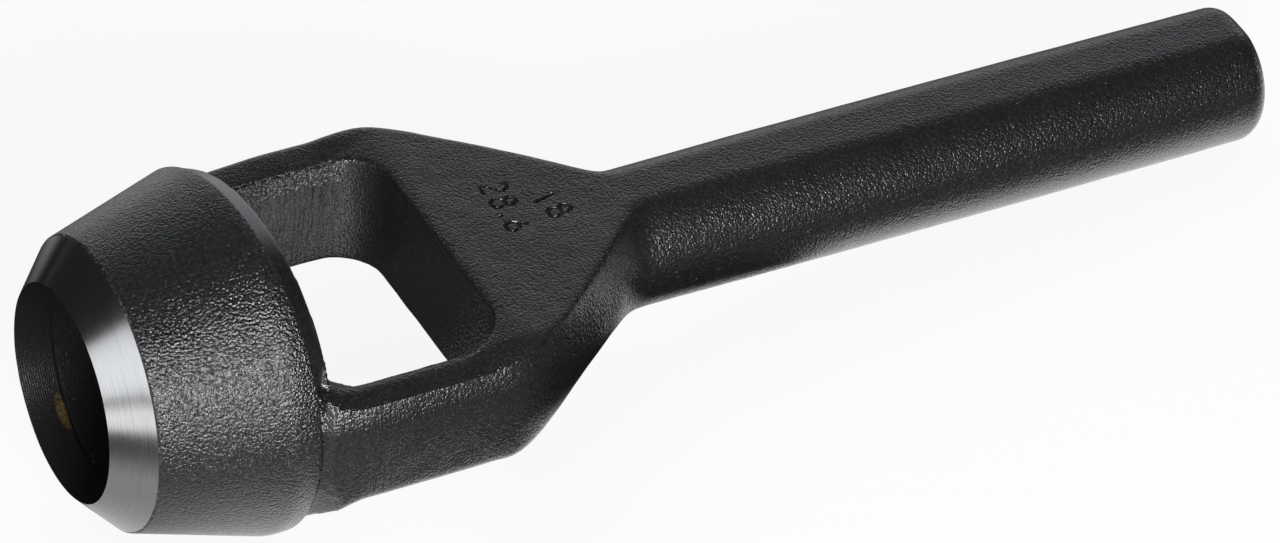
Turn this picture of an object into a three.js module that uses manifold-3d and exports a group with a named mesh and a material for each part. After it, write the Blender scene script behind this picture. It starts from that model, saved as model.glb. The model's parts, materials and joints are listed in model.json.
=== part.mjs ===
// Arch punch: a ring-shaped cutter head on a forged frame with two legs, a flat yoke and a round grip.
// It lies on its rim and on the flat of its grip end, with +X from the cutting edge to the struck end.
// Inside the tool group, x runs along the punch from the cutting edge, y across, z out of the flats.
import * as THREE from 'three';
import { mergeVertices } from 'three/addons/utils/BufferGeometryUtils.js';
import Module from 'manifold-3d';

// Cutter head, in millimetres: depths are measured along the punch from the cutting edge
const CUT_RADIUS = 14.29;
const BEVEL_DEPTH = 4.47;
const BEVEL_RISE = 4.81;
const CONE_DEPTH = 21.4;
const CONE_RISE = 5.1;
const EDGE_BREAK = 0.25;
const LAND_DEPTH = 5.2;

// Seat of the head on the frame: a collar behind the rim and a tube inside the head
const SEAT_DEPTH = 22.2;
const SEAT_SKEW = THREE.MathUtils.degToRad(5.4);
const SEAT_CLEARANCE = 0.3;
const COLLAR_THICKNESS = 2.4;
const COLLAR_STEP = 0.25;
const COLLAR_TAPER = 1.1;
const SPIGOT_WALL = 2.4;
const SPIGOT_CHAMFER = 0.6;
const RELIEF_STEP = 0.31;
const RELIEF_TAPER = 1;

// Legs and the open window between them
const LEG_HALF_SPREAD = 25.5;
const LEG_WIDTH = 5.1;
const LEG_TOP_HEIGHT = 7.4;
const LEG_WALL_CROWN = 0.25;
const ROOT_LENGTH = 9;
const ROOT_UPPER_FLARE = 3;
const ROOT_LOWER_FLARE = 6.2;
const ROOT_DRAW = 1.1;
const ROOT_RUNOUT = 6;
const WINDOW_END = 52.2;
const WINDOW_ROOT_ROUND = 5;
const WINDOW_CORNER_ROUND = 6.4;

// Yoke: the flat slab that narrows from the legs to the grip
const YOKE_HALF_THICKNESS = 8.6;
const YOKE_START = 45;
const SHOULDER_DEPTH = 54.3;
const SHOULDER_ROUND = 3.2;
const FLAT_CORNER_ROUND = 2;
const FLANK_CROWN = 0.6;
const FLANK_DRAFT = 1.7;
const NECK_FLAT_DEPTH = 78.2;
const NECK_SIDE_DEPTH = 76.7;
const NECK_ROUND = 1.8;

// Grip: round, a little barrelled, with a flat above and below that runs on from the yoke
const OVERALL_LENGTH = 172.1;
const GRIP_FLAT_HALF_WIDTH = 3.2;
const GRIP_NECK_RADIUS = 8.95;
const GRIP_END_RADIUS = 9.1;
const GRIP_BULGE = 0.35;
const END_ROUND = 2.6;
const UPPER_EDGE_ROUND = 0.9;
const LOWER_EDGE_ROUND = 2.2;

// What the cutting bodies reach past the faces that they cut
const OVERRUN = 10;

// Radii of the head and its seat, worked out from the cutting radius
const BEVEL_RADIUS = CUT_RADIUS + BEVEL_RISE;
const RIM_RADIUS = BEVEL_RADIUS + CONE_RISE;
const COLLAR_RADIUS = RIM_RADIUS - COLLAR_STEP;
const RELIEF_RADIUS = CUT_RADIUS + RELIEF_STEP;
const SPIGOT_RADIUS = RELIEF_RADIUS + SPIGOT_WALL;
const WINDOW_HALF_WIDTH = LEG_HALF_SPREAD - LEG_WIDTH;

// Counts of facets
const RING_SEGMENTS = 64;
const BORE_SEGMENTS = 64;
const EDGE_STEPS = 3;
const WALL_STEPS = 5;
const CORNER_STEPS = 6;
const END_STEPS = 5;
const ROOT_STATIONS = 6;
const LEG_STATIONS = 4;
const SHOULDER_STATIONS = 14;
const FLANK_STATIONS = 6;
const NECK_STATIONS = 12;
const GRIP_STATIONS = 16;

const wasm = await Module();
wasm.setup();

// Turns a closed geometry into a solid that can be joined and cut
function toSolid(geometry) {
  const bare = geometry.index ? geometry.toNonIndexed() : geometry;
  bare.deleteAttribute('normal');
  bare.deleteAttribute('uv');
  const merged = mergeVertices(bare);
  const corners = merged.index.array;
  const kept = [];
  for (let i = 0; i < corners.length; i += 3) {
    const [a, b, c] = [corners[i], corners[i + 1], corners[i + 2]];
    if (a !== b && b !== c && c !== a) kept.push(a, b, c);
  }
  const vertProperties = new Float32Array(merged.attributes.position.array);
  return new wasm.Manifold(new wasm.Mesh({ numProp: 3, vertProperties, triVerts: new Uint32Array(kept) }));
}

// Turns a solid back into a flat-shaded geometry
function toGeometry(solid) {
  const mesh = solid.getMesh();
  const geometry = new THREE.BufferGeometry();
  geometry.setAttribute('position', new THREE.BufferAttribute(new Float32Array(mesh.vertProperties), 3));
  geometry.setIndex(Array.from(mesh.triVerts));
  geometry.computeVertexNormals();
  return geometry;
}

// Revolves [depth, radius] points about the x axis, with a facet centred under the axis
function revolve(profile, segments) {
  const points = profile.map(([depth, radius]) => new THREE.Vector2(radius, depth));
  const step = (2 * Math.PI) / segments;
  const geometry = new THREE.LatheGeometry(points, segments, step / 2);
  geometry.rotateZ(-Math.PI / 2);
  return geometry;
}

// A ring profile closed on itself, revolved about the x axis
function revolveRing(profile, segments) {
  return revolve([...profile, profile[0]], segments);
}

// Moves a geometry made about the seat's own axis to the seat, which stands a little out of square
function placeAtSeat(geometry) {
  geometry.rotateZ(SEAT_SKEW);
  geometry.translate(SEAT_DEPTH, 0, 0);
  return geometry;
}

// Everything behind the seat plane that a head could reach into
function behindSeat() {
  const radius = RIM_RADIUS + OVERRUN;
  const end = 2 * OVERRUN;
  return toSolid(placeAtSeat(revolve([[0, 0], [0, radius], [end, radius], [end, 0]], BORE_SEGMENTS)));
}

// The steady step from 0 to 1 between two depths
function ease(depth, start, end) {
  return THREE.MathUtils.smoothstep(depth, start, end);
}

// The smaller of two sizes, rounded off over a named blend where they meet
function softMin(a, b, blend) {
  const near = Math.max(blend - Math.abs(a - b), 0);
  return Math.min(a, b) - (near * near) / (4 * blend);
}

function softMax(a, b, blend) {
  return -softMin(-a, -b, blend);
}

// The straight line through two [depth, size] points
function alongLine([depthA, sizeA], [depthB, sizeB], depth) {
  return sizeA + ((sizeB - sizeA) * (depth - depthA)) / (depthB - depthA);
}

// How far a depth has come from one place to another, as a share from 0 to 1
function shareBetween(depth, start, end) {
  return THREE.MathUtils.clamp((depth - start) / (end - start), 0, 1);
}

// The grip's half width: an even taper, barrelled a little between its ends
function gripRadius(depth) {
  const share = shareBetween(depth, NECK_SIDE_DEPTH, OVERALL_LENGTH);
  const taper = THREE.MathUtils.lerp(GRIP_NECK_RADIUS, GRIP_END_RADIUS, share);
  return taper + GRIP_BULGE * Math.sin(Math.PI * share);
}

// Half the frame's width at its middle height, where the flanks run straight
function halfWidth(depth) {
  const rooted = ease(depth, SEAT_DEPTH, SEAT_DEPTH + ROOT_LENGTH);
  const leg = LEG_HALF_SPREAD - ROOT_DRAW * (1 - rooted);
  const shoulder = [SHOULDER_DEPTH, LEG_HALF_SPREAD];
  const flank = alongLine(shoulder, [NECK_SIDE_DEPTH, GRIP_NECK_RADIUS], depth);
  return softMax(softMin(leg, flank, SHOULDER_ROUND), gripRadius(depth), NECK_ROUND);
}

// Half the width of a flat between its wall's crown and a flank that runs to the grip's flat
function flatWithin(depth, flank) {
  const wall = halfWidth(depth) - LEG_WALL_CROWN;
  return softMin(wall, softMax(flank, GRIP_FLAT_HALF_WIDTH, NECK_ROUND), FLAT_CORNER_ROUND);
}

// Half the width of the upper flat, whose flanks are crowned
function upperFlatHalfWidth(depth) {
  const crown = FLANK_CROWN * Math.sin(Math.PI * shareBetween(depth, SHOULDER_DEPTH, NECK_FLAT_DEPTH));
  const shoulder = [SHOULDER_DEPTH, LEG_HALF_SPREAD];
  return flatWithin(depth, alongLine(shoulder, [NECK_FLAT_DEPTH, GRIP_FLAT_HALF_WIDTH], depth) + crown);
}

// Half the width of the lower flat, whose flanks the forging's draft draws in at the shoulder
function lowerFlatHalfWidth(depth) {
  const shoulder = [SHOULDER_DEPTH - FLANK_DRAFT, LEG_HALF_SPREAD];
  return flatWithin(depth, alongLine(shoulder, [NECK_FLAT_DEPTH, GRIP_FLAT_HALF_WIDTH], depth));
}

// The share of the root's flare that is left at a depth: it runs out like a fillet
function flareLeft(depth) {
  return (1 - shareBetween(depth, SEAT_DEPTH, SEAT_DEPTH + ROOT_LENGTH)) ** 2;
}

// The height of the upper flats above the middle: the legs' tops lie lower than the yoke's
function topHeight(depth) {
  const grown = ease(depth, YOKE_START, SHOULDER_DEPTH);
  const legTop = LEG_TOP_HEIGHT + ROOT_UPPER_FLARE * flareLeft(depth);
  return THREE.MathUtils.lerp(legTop, YOKE_HALF_THICKNESS, grown);
}

// The depth of the underside below the middle: one flat from the roots to the end of the grip
function undersideDrop(depth) {
  return YOKE_HALF_THICKNESS + ROOT_LOWER_FLARE * flareLeft(depth);
}

// The round of the lower edges, full on legs and yoke and running out to the grip's soft crease
function lowerEdgeRound(depth) {
  const grown = ease(depth, SHOULDER_DEPTH, NECK_FLAT_DEPTH);
  return THREE.MathUtils.lerp(LOWER_EDGE_ROUND, UPPER_EDGE_ROUND, grown);
}

// One quarter of a section as [y, z] points, from the flat over its edge and down the bowed wall
function quarterSection(width, flat, height, edgeRound) {
  const centre = (width ** 2 - flat ** 2 - height ** 2) / (2 * (width - flat));
  const radius = width - centre;
  const crease = Math.atan2(height, flat - centre);
  const edge = Math.min(edgeRound, flat / 2);
  const edgeEnd = crease - edge / radius;
  const onWall = (angle) => [centre + radius * Math.cos(angle), radius * Math.sin(angle)];
  const start = new THREE.Vector2(flat - edge, height);
  const bend = new THREE.Vector2(flat, height);
  const end = new THREE.Vector2(...onWall(edgeEnd));
  const round = new THREE.QuadraticBezierCurve(start, bend, end);
  const rounded = round.getPoints(EDGE_STEPS).map((p) => [p.x, p.y]);
  const wall = [];
  for (let i = 1; i <= WALL_STEPS; i += 1) wall.push(onWall(edgeEnd * (1 - i / WALL_STEPS)));
  return [...rounded, ...wall];
}

// A whole section as a ring of points at one depth, anticlockwise as seen from the struck end
function sectionRing(depth, inset) {
  const width = halfWidth(depth) - inset;
  const least = GRIP_FLAT_HALF_WIDTH / 2;
  const upperFlat = Math.max(upperFlatHalfWidth(depth) - inset, least);
  const lowerFlat = Math.max(lowerFlatHalfWidth(depth) - inset, least);
  const upper = quarterSection(width, upperFlat, topHeight(depth) - inset, UPPER_EDGE_ROUND).slice(0, -1);
  const lower = quarterSection(width, lowerFlat, undersideDrop(depth) - inset, lowerEdgeRound(depth));
  const ring = [
    ...lower.map(([y, z]) => [y, -z]),
    ...upper.slice().reverse(),
    ...upper.map(([y, z]) => [-y, z]),
    ...lower.slice().reverse().map(([y, z]) => [-y, -z]),
  ];
  return ring.map(([y, z]) => new THREE.Vector3(depth, y, z));
}

// Joins rings of equal length by a skin and closes the two ends with fans about their centres
function loft(rings) {
  const count = rings[0].length;
  const centres = [rings[0], rings[rings.length - 1]].map((ring) => {
    const middle = new THREE.Vector3();
    ring.forEach((point) => middle.add(point));
    return middle.divideScalar(count);
  });
  const triangles = [];
  for (let r = 0; r + 1 < rings.length; r += 1) {
    for (let i = 0; i < count; i += 1) {
      const j = (i + 1) % count;
      const [a, b, c, d] = [rings[r][i], rings[r][j], rings[r + 1][j], rings[r + 1][i]];
      triangles.push(a, b, c, a, c, d);
    }
  }
  for (let i = 0; i < count; i += 1) {
    const j = (i + 1) % count;
    triangles.push(rings[0][j], rings[0][i], centres[0]);
    triangles.push(rings[rings.length - 1][i], rings[rings.length - 1][j], centres[1]);
  }
  return new THREE.BufferGeometry().setFromPoints(triangles);
}

// Evenly spaced depths from one place up to, and without, the next
function stations(start, end, count) {
  return Array.from({ length: count }, (_, i) => THREE.MathUtils.lerp(start, end, i / count));
}

// The slab of the legs and yoke and the grip, in one loft along the punch
function frameBlank() {
  const rootEnd = SEAT_DEPTH + ROOT_LENGTH;
  const roundStart = SHOULDER_DEPTH + SHOULDER_ROUND;
  const neckStart = NECK_SIDE_DEPTH - SHOULDER_ROUND;
  const gripStart = NECK_FLAT_DEPTH + SHOULDER_ROUND;
  const endStart = OVERALL_LENGTH - END_ROUND;
  const depths = [
    SEAT_DEPTH - OVERRUN,
    ...stations(SEAT_DEPTH, rootEnd, ROOT_STATIONS),
    ...stations(rootEnd, YOKE_START, LEG_STATIONS),
    ...stations(YOKE_START, roundStart, SHOULDER_STATIONS),
    ...stations(roundStart, neckStart, FLANK_STATIONS),
    ...stations(neckStart, gripStart, NECK_STATIONS),
    ...stations(gripStart, endStart, GRIP_STATIONS),
  ];
  const rings = depths.map((depth) => sectionRing(depth, 0));
  for (let i = 0; i <= END_STEPS; i += 1) {
    const turn = (i / END_STEPS) * (Math.PI / 2);
    rings.push(sectionRing(endStart + END_ROUND * Math.sin(turn), END_ROUND * (1 - Math.cos(turn))));
  }
  return toSolid(loft(rings));
}

// The window through the frame: square to the flats, its front edge along the collar
function windowCutter() {
  const lean = Math.tan(SEAT_SKEW);
  const front = SEAT_DEPTH + (SEAT_CLEARANCE + COLLAR_THICKNESS) / Math.cos(SEAT_SKEW);
  const corners = [
    { x: front + lean * WINDOW_HALF_WIDTH, y: -WINDOW_HALF_WIDTH, round: WINDOW_ROOT_ROUND },
    { x: WINDOW_END, y: -WINDOW_HALF_WIDTH, round: WINDOW_CORNER_ROUND },
    { x: WINDOW_END, y: WINDOW_HALF_WIDTH, round: WINDOW_CORNER_ROUND },
    { x: front - lean * WINDOW_HALF_WIDTH, y: WINDOW_HALF_WIDTH, round: WINDOW_ROOT_ROUND },
  ];
  const outline = new THREE.Shape(roundedOutline(corners));
  const depth = 2 * (YOKE_HALF_THICKNESS + OVERRUN);
  const geometry = new THREE.ExtrudeGeometry(outline, { depth, bevelEnabled: false });
  geometry.translate(0, 0, -depth / 2);
  return toSolid(geometry);
}

// A closed outline whose corners are replaced by arcs of their own radius
function roundedOutline(corners) {
  const points = [];
  corners.forEach((corner, i) => {
    const at = new THREE.Vector2(corner.x, corner.y);
    const before = corners[(i + corners.length - 1) % corners.length];
    const after = corners[(i + 1) % corners.length];
    const toBefore = new THREE.Vector2(before.x, before.y).sub(at).normalize();
    const toAfter = new THREE.Vector2(after.x, after.y).sub(at).normalize();
    const half = Math.acos(toBefore.dot(toAfter)) / 2;
    const middle = toBefore.clone().add(toAfter).normalize();
    const centre = at.clone().addScaledVector(middle, corner.round / Math.sin(half));
    const from = at.clone().addScaledVector(toBefore, corner.round / Math.tan(half)).sub(centre);
    const sweep = Math.PI - 2 * half;
    for (let k = 0; k <= CORNER_STEPS; k += 1) {
      const spoke = from.clone().rotateAround(new THREE.Vector2(), (sweep * k) / CORNER_STEPS);
      points.push(centre.clone().add(spoke));
    }
  });
  return points;
}

// The collar that backs the rim: a short cone about the seat's own axis, solid until the relief is bored
function collar() {
  const rear = SEAT_CLEARANCE + COLLAR_THICKNESS;
  const profile = [
    [SEAT_CLEARANCE, 0],
    [SEAT_CLEARANCE, COLLAR_RADIUS],
    [rear, COLLAR_RADIUS - COLLAR_TAPER],
    [rear, 0],
  ];
  return toSolid(placeAtSeat(revolve(profile, RING_SEGMENTS)));
}

// The tube that the head sits on, from just behind the bore's land to inside the collar
function spigot() {
  const front = LAND_DEPTH + SEAT_CLEARANCE;
  const rear = SEAT_DEPTH + SEAT_CLEARANCE + COLLAR_THICKNESS / 2;
  const profile = [
    [front, 0],
    [front, SPIGOT_RADIUS - SPIGOT_CHAMFER],
    [front + SPIGOT_CHAMFER, SPIGOT_RADIUS],
    [rear, SPIGOT_RADIUS],
    [rear, 0],
  ];
  return toSolid(revolve(profile, BORE_SEGMENTS));
}

// The tapered relief that lets cut slugs fall back into the window
function reliefCutter() {
  const front = LAND_DEPTH;
  const rear = SEAT_DEPTH + SEAT_CLEARANCE + COLLAR_THICKNESS;
  const taper = [[front, RELIEF_RADIUS], [rear, RELIEF_RADIUS + RELIEF_TAPER]];
  const start = front - SEAT_CLEARANCE;
  const end = rear + ROOT_LENGTH;
  const profile = [
    [start, 0],
    [start, alongLine(...taper, start)],
    [end, alongLine(...taper, end)],
    [end, 0],
  ];
  return toSolid(revolve(profile, BORE_SEGMENTS));
}

// The turned run-out at the leg roots: flush with the collar at the seat, clear of the corners behind
function rootEnvelope() {
  const cornerRadius = Math.hypot(LEG_HALF_SPREAD, YOKE_HALF_THICKNESS + ROOT_LOWER_FLARE);
  const profile = [
    [SEAT_CLEARANCE, 0],
    [SEAT_CLEARANCE, COLLAR_RADIUS],
    [ROOT_RUNOUT, cornerRadius],
    [SHOULDER_DEPTH, cornerRadius + YOKE_HALF_THICKNESS],
    [OVERALL_LENGTH, cornerRadius + YOKE_HALF_THICKNESS],
    [OVERALL_LENGTH, 0],
  ];
  return toSolid(placeAtSeat(revolve(profile, RING_SEGMENTS)));
}

// The forged frame: blank, collar and spigot joined, then the window and the relief cut
function forgedFrame() {
  const blank = frameBlank().intersect(rootEnvelope()).subtract(windowCutter());
  return toGeometry(blank.add(collar()).add(spigot()).subtract(reliefCutter()));
}

// The cutter head: ground bevel, cone and land outside, cutting land and socket inside
function cutterHead() {
  const socket = SPIGOT_RADIUS + SEAT_CLEARANCE;
  const rear = SEAT_DEPTH + OVERRUN;
  const profile = [
    [0, CUT_RADIUS],
    [BEVEL_DEPTH, BEVEL_RADIUS],
    [BEVEL_DEPTH + EDGE_BREAK, BEVEL_RADIUS + EDGE_BREAK],
    [CONE_DEPTH, RIM_RADIUS],
    [rear, RIM_RADIUS],
    [rear, socket],
    [LAND_DEPTH, socket],
    [LAND_DEPTH, CUT_RADIUS],
  ];
  const ring = toSolid(revolveRing(profile, RING_SEGMENTS));
  return toGeometry(ring.subtract(behindSeat()));
}

function piece(name, geometry, color, roughness, metalness) {
  const mesh = new THREE.Mesh(geometry, new THREE.MeshStandardMaterial({ color, roughness, metalness }));
  mesh.name = name;
  return mesh;
}

// Lays the tool on its rim and its grip's lower flat, with the box's bottom centre at the origin
function layDown(tool) {
  const reach = OVERALL_LENGTH - END_ROUND - SEAT_DEPTH;
  tool.rotation.y = Math.atan2(RIM_RADIUS - YOKE_HALF_THICKNESS, reach);
  tool.updateMatrixWorld(true);
  const box = new THREE.Box3().setFromObject(tool, true);
  tool.position.set(-(box.min.x + box.max.x) / 2, 0, -box.min.z);
  return tool;
}

const tool = new THREE.Group();
tool.add(piece('cutter_head', cutterHead(), '#58595b', 0.5, 0.7));
tool.add(piece('forged_frame', forgedFrame(), '#3c3d40', 0.6, 0.6));

const part = new THREE.Group();
part.add(layDown(tool));

export default part;
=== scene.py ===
"""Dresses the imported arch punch: its forged frame, its cutter head, the studio and the camera.

Lengths are in millimetres on the punch's own axes, unless a name says otherwise: x runs from the
cutting edge to the struck end, y across the arch, and z out of the upper flat. Meshes are in metres.
"""

import json
import logging
import math
from dataclasses import dataclass
from enum import Enum
from typing import Mapping, Optional, Sequence, Union

import bmesh
import bpy
import numpy as np
from mathutils import Matrix, Vector, noise


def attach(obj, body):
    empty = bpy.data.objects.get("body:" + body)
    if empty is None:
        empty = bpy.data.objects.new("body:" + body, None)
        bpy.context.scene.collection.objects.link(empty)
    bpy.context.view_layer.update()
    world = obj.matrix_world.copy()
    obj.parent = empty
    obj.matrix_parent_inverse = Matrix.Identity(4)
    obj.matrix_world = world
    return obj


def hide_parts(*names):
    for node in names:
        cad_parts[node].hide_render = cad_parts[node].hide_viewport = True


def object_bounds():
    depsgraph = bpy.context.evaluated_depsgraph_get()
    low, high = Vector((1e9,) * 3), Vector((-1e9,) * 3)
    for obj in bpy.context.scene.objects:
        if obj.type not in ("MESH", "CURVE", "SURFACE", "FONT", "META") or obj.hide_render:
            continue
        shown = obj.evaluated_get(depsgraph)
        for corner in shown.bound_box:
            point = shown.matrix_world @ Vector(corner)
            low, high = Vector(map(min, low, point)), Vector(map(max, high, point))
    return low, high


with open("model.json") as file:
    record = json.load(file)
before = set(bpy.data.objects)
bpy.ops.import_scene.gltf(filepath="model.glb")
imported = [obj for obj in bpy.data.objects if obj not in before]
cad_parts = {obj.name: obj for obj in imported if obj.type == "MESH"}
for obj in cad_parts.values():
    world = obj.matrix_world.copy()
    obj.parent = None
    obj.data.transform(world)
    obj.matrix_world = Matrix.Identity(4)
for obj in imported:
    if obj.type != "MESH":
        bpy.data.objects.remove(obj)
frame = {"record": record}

log = logging.getLogger("arch_punch")

METRES_PER_MM = 0.001
PHOTO_WIDTH_PX = 1280

Point = tuple[float, float]
Triple = tuple[float, float, float]
Stretch = tuple[float, float, float, float]
Colour = Triple
WHITE: Colour = (1.0, 1.0, 1.0)


def box_as_lists() -> list[list[float]]:
    """The whole object's box as plain lists."""
    return [[float(value) for value in corner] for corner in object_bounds()]


CAD_BOX = box_as_lists()


# ---------------------------------------------------------------- sizes and curves


def share_between(value: float, start: float, end: float) -> float:
    """How far a value has come from start to end, from 0 to 1."""
    return min(max((value - start) / (end - start), 0.0), 1.0)


def ease(value: float, start: float, end: float) -> float:
    """The smooth step from 0 at start to 1 at end."""
    share = share_between(value, start, end)
    return share * share * (3 - 2 * share)


def along_stretch(value: float, bounds: Stretch) -> float:
    """1 between the middle two of four bounds, easing to 0 at the outer two."""
    return ease(value, *bounds[:2]) * (1 - ease(value, *bounds[2:]))


def lerp(low: float, high: float, share: float) -> float:
    """The value at a share of the way from low to high."""
    return low + (high - low) * share


def soft_min(first: float, second: float, blend: float) -> float:
    """The smaller of two sizes, rounded off where they meet.

    Args:
        first: One size.
        second: The other size.
        blend: How far apart the two still round each other off.

    Returns:
        The rounded minimum.
    """
    near = max(blend - abs(first - second), 0.0)
    return min(first, second) - near * near / (4 * blend)


def soft_max(first: float, second: float, blend: float) -> float:
    """The larger of two sizes, rounded off where they meet."""
    return -soft_min(-first, -second, blend)


def along_line(start: Point, end: Point, depth: float) -> float:
    """The size at a depth on the straight line through two (depth, size) points."""
    return start[1] + (end[1] - start[1]) * (depth - start[0]) / (end[0] - start[0])


def arc(centre: Point, radius: float, start_deg: float, end_deg: float, steps: int) -> list[Point]:
    """Points on an arc.

    Args:
        centre: The arc's centre.
        radius: Its radius.
        start_deg: The angle of the first point.
        end_deg: The angle of the last point.
        steps: How many chords the arc has.

    Returns:
        The points, ends included.
    """
    angles = [math.radians(lerp(start_deg, end_deg, step / steps)) for step in range(steps + 1)]
    return [(centre[0] + radius * math.cos(a), centre[1] + radius * math.sin(a)) for a in angles]


@dataclass(frozen=True)
class Spot:
    """An oval mark: its middle on the punch's own axes, and how far it reaches along each.

    It is full up to its core, which is the square of a share of its reach.
    """

    centre: Triple
    reach: Triple
    core: float = 0.2


@dataclass(frozen=True)
class Grain:
    """A cloudy pattern: the size of its patches, its finer layers and their strength.

    Its fineness is how much finer it is along x, y and z.
    """

    size: float
    detail: float = 2.0
    roughness: float = 0.5
    fineness: Triple = (1.0, 1.0, 1.0)


@dataclass(frozen=True)
class Flecks:
    """Small bright flecks: how far apart and how large they are, and the patches that hold them."""

    spacing: float
    reach: Point
    patch: Grain
    share: float
    patch_rise: Point = (0.5, 0.62)


FAR_DENT = Spot((46.0, 21.6, 7.6), (3.4, 2.6, 1.6))
NEAR_BLOT = Spot((25.3, -25.0, -4.9), (2.2, 2.6, 2.6))
BRAZE_SMEAR = Spot((4.5, 8.8, -11.3), (0.9, 2.8, 2.8))


# ---------------------------------------------------------------- meshes


class Join(Enum):
    """How one solid acts on another."""

    ADD = "UNION"
    CUT = "DIFFERENCE"
    KEEP = "INTERSECT"


@dataclass(frozen=True)
class Placement:
    """Where the punch lies: its own axes in the row frame, read from the record's flat mounts."""

    overall_length: float

    def mount(self, name: str) -> dict:
        """The record's mount of that name."""
        return next(row for row in frame["record"]["mounts"] if row["name"] == name)

    def matrix(self) -> Matrix:
        """The move from the punch's own axes, in metres, to the row frame.

        Returns:
            A rigid matrix whose columns are the punch's axes and whose origin is the cutting edge.
        """
        struck = self.mount("struck_end")
        forward = Vector(struck["axis"]).normalized()
        upward = Vector(self.mount("yoke_upper_flat")["axis"]).normalized()
        across = upward.cross(forward)
        origin = Vector(struck["pos_m"]) - forward * self.overall_length * METRES_PER_MM
        turn = Matrix((forward, across, upward)).transposed().to_4x4()
        return Matrix.Translation(origin) @ turn


class Workshop:
    """Makes solids on the punch's own axes and joins, cuts and smooths them."""

    segments: int = 160

    def __init__(self, placement: Placement) -> None:
        """Keeps the place of the punch for every solid that is made."""
        self.matrix = placement.matrix()

    def solid(self, name: str, points: Sequence, faces: Sequence[Sequence[int]]) -> bpy.types.Object:
        """Makes an object from points in millimetres.

        Args:
            name: The object's name.
            points: Its corners on the punch's own axes.
            faces: Its faces as indices into points.

        Returns:
            The linked object, with its normals facing outwards.
        """
        mesh = bpy.data.meshes.new(name)
        scaled = np.asarray(points, dtype=float) * METRES_PER_MM
        mesh.from_pydata(scaled.tolist(), [], [list(face) for face in faces])
        shell = bmesh.new()
        shell.from_mesh(mesh)
        bmesh.ops.recalc_face_normals(shell, faces=shell.faces)
        shell.to_mesh(mesh)
        shell.free()
        made = bpy.data.objects.new(name, mesh)
        bpy.context.scene.collection.objects.link(made)
        return made

    def loft(self, name: str, rings: Sequence[Sequence], capped: bool = True) -> bpy.types.Object:
        """Skins rings of equal length.

        Args:
            name: The object's name.
            rings: Rings of (x, y, z) points.
            capped: Whether the two end rings are closed; otherwise the last ring meets the first.

        Returns:
            The skinned object.
        """
        count = len(rings[0])
        points = [point for ring in rings for point in ring]
        rows = len(rings) - 1 if capped else len(rings)
        faces = []
        for row in range(rows):
            here, there = row * count, (row + 1) % len(rings) * count
            for i in range(count):
                j = (i + 1) % count
                faces.append((here + i, here + j, there + j, there + i))
        if capped:
            faces.append(tuple(reversed(range(count))))
            faces.append(tuple(range((len(rings) - 1) * count, len(rings) * count)))
        return self.solid(name, points, faces)

    def turned(
        self, name: str, profile: Sequence[Point], skew: float = 0.0, seat: float = 0.0
    ) -> bpy.types.Object:
        """Turns a profile about the punch's axis, or about a seat that stands out of square.

        Args:
            name: The object's name.
            profile: (depth, radius) points from front to rear.
            skew: The seat's turn about z, in radians.
            seat: The seat's depth, which the profile's depths are measured from.

        Returns:
            The turned solid.
        """
        rings = []
        for depth, radius in profile:
            ring = []
            for step in range(self.segments):
                angle = 2 * math.pi * step / self.segments
                y, z = radius * math.cos(angle), radius * math.sin(angle)
                x = depth * math.cos(skew) - y * math.sin(skew) + seat
                ring.append((x, depth * math.sin(skew) + y * math.cos(skew), z))
            rings.append(ring)
        return self.loft(name, rings)

    def settle(self, made: bpy.types.Object) -> None:
        """Makes the modifiers of an object part of its mesh.

        Args:
            made: The object.
        """
        graph = bpy.context.evaluated_depsgraph_get()
        settled = bpy.data.meshes.new_from_object(made.evaluated_get(graph))
        made.modifiers.clear()
        made.data = settled

    def act(self, target: bpy.types.Object, join: Join, tool: bpy.types.Object) -> None:
        """Joins a tool to a target or cuts it with it, and clears the tool away.

        Args:
            target: The solid that is worked on.
            join: How the tool acts.
            tool: The solid that acts and goes.
        """
        step = target.modifiers.new("act", "BOOLEAN")
        step.operation = join.value
        step.solver = "MANIFOLD"
        step.object = tool
        self.settle(target)
        bpy.data.objects.remove(tool)

    def forge(self, made: bpy.types.Object, grain: float, passes: int) -> None:
        """Rebuilds a solid as an even skin and softens its edges, as a forging die does.

        Args:
            made: The solid.
            grain: The size of the skin's facets.
            passes: How often the skin is smoothed.
        """
        skin = made.modifiers.new("skin", "REMESH")
        skin.mode = "VOXEL"
        skin.voxel_size = grain * METRES_PER_MM
        soften = made.modifiers.new("soften", "SMOOTH")
        soften.factor = 0.5
        soften.iterations = passes
        self.settle(made)

    def lay_down(self, made: bpy.types.Object, crease_deg: float) -> None:
        """Moves a finished mesh to the row frame, and shades it smoothly but for its creases.

        Args:
            made: The finished solid.
            crease_deg: The least angle of a crease.
        """
        made.data.transform(self.matrix)
        made.data.shade_smooth()
        made.data.set_sharp_from_angle(angle=math.radians(crease_deg))


# ---------------------------------------------------------------- shader maths


Operand = Union["Shade", float, int]


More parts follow.
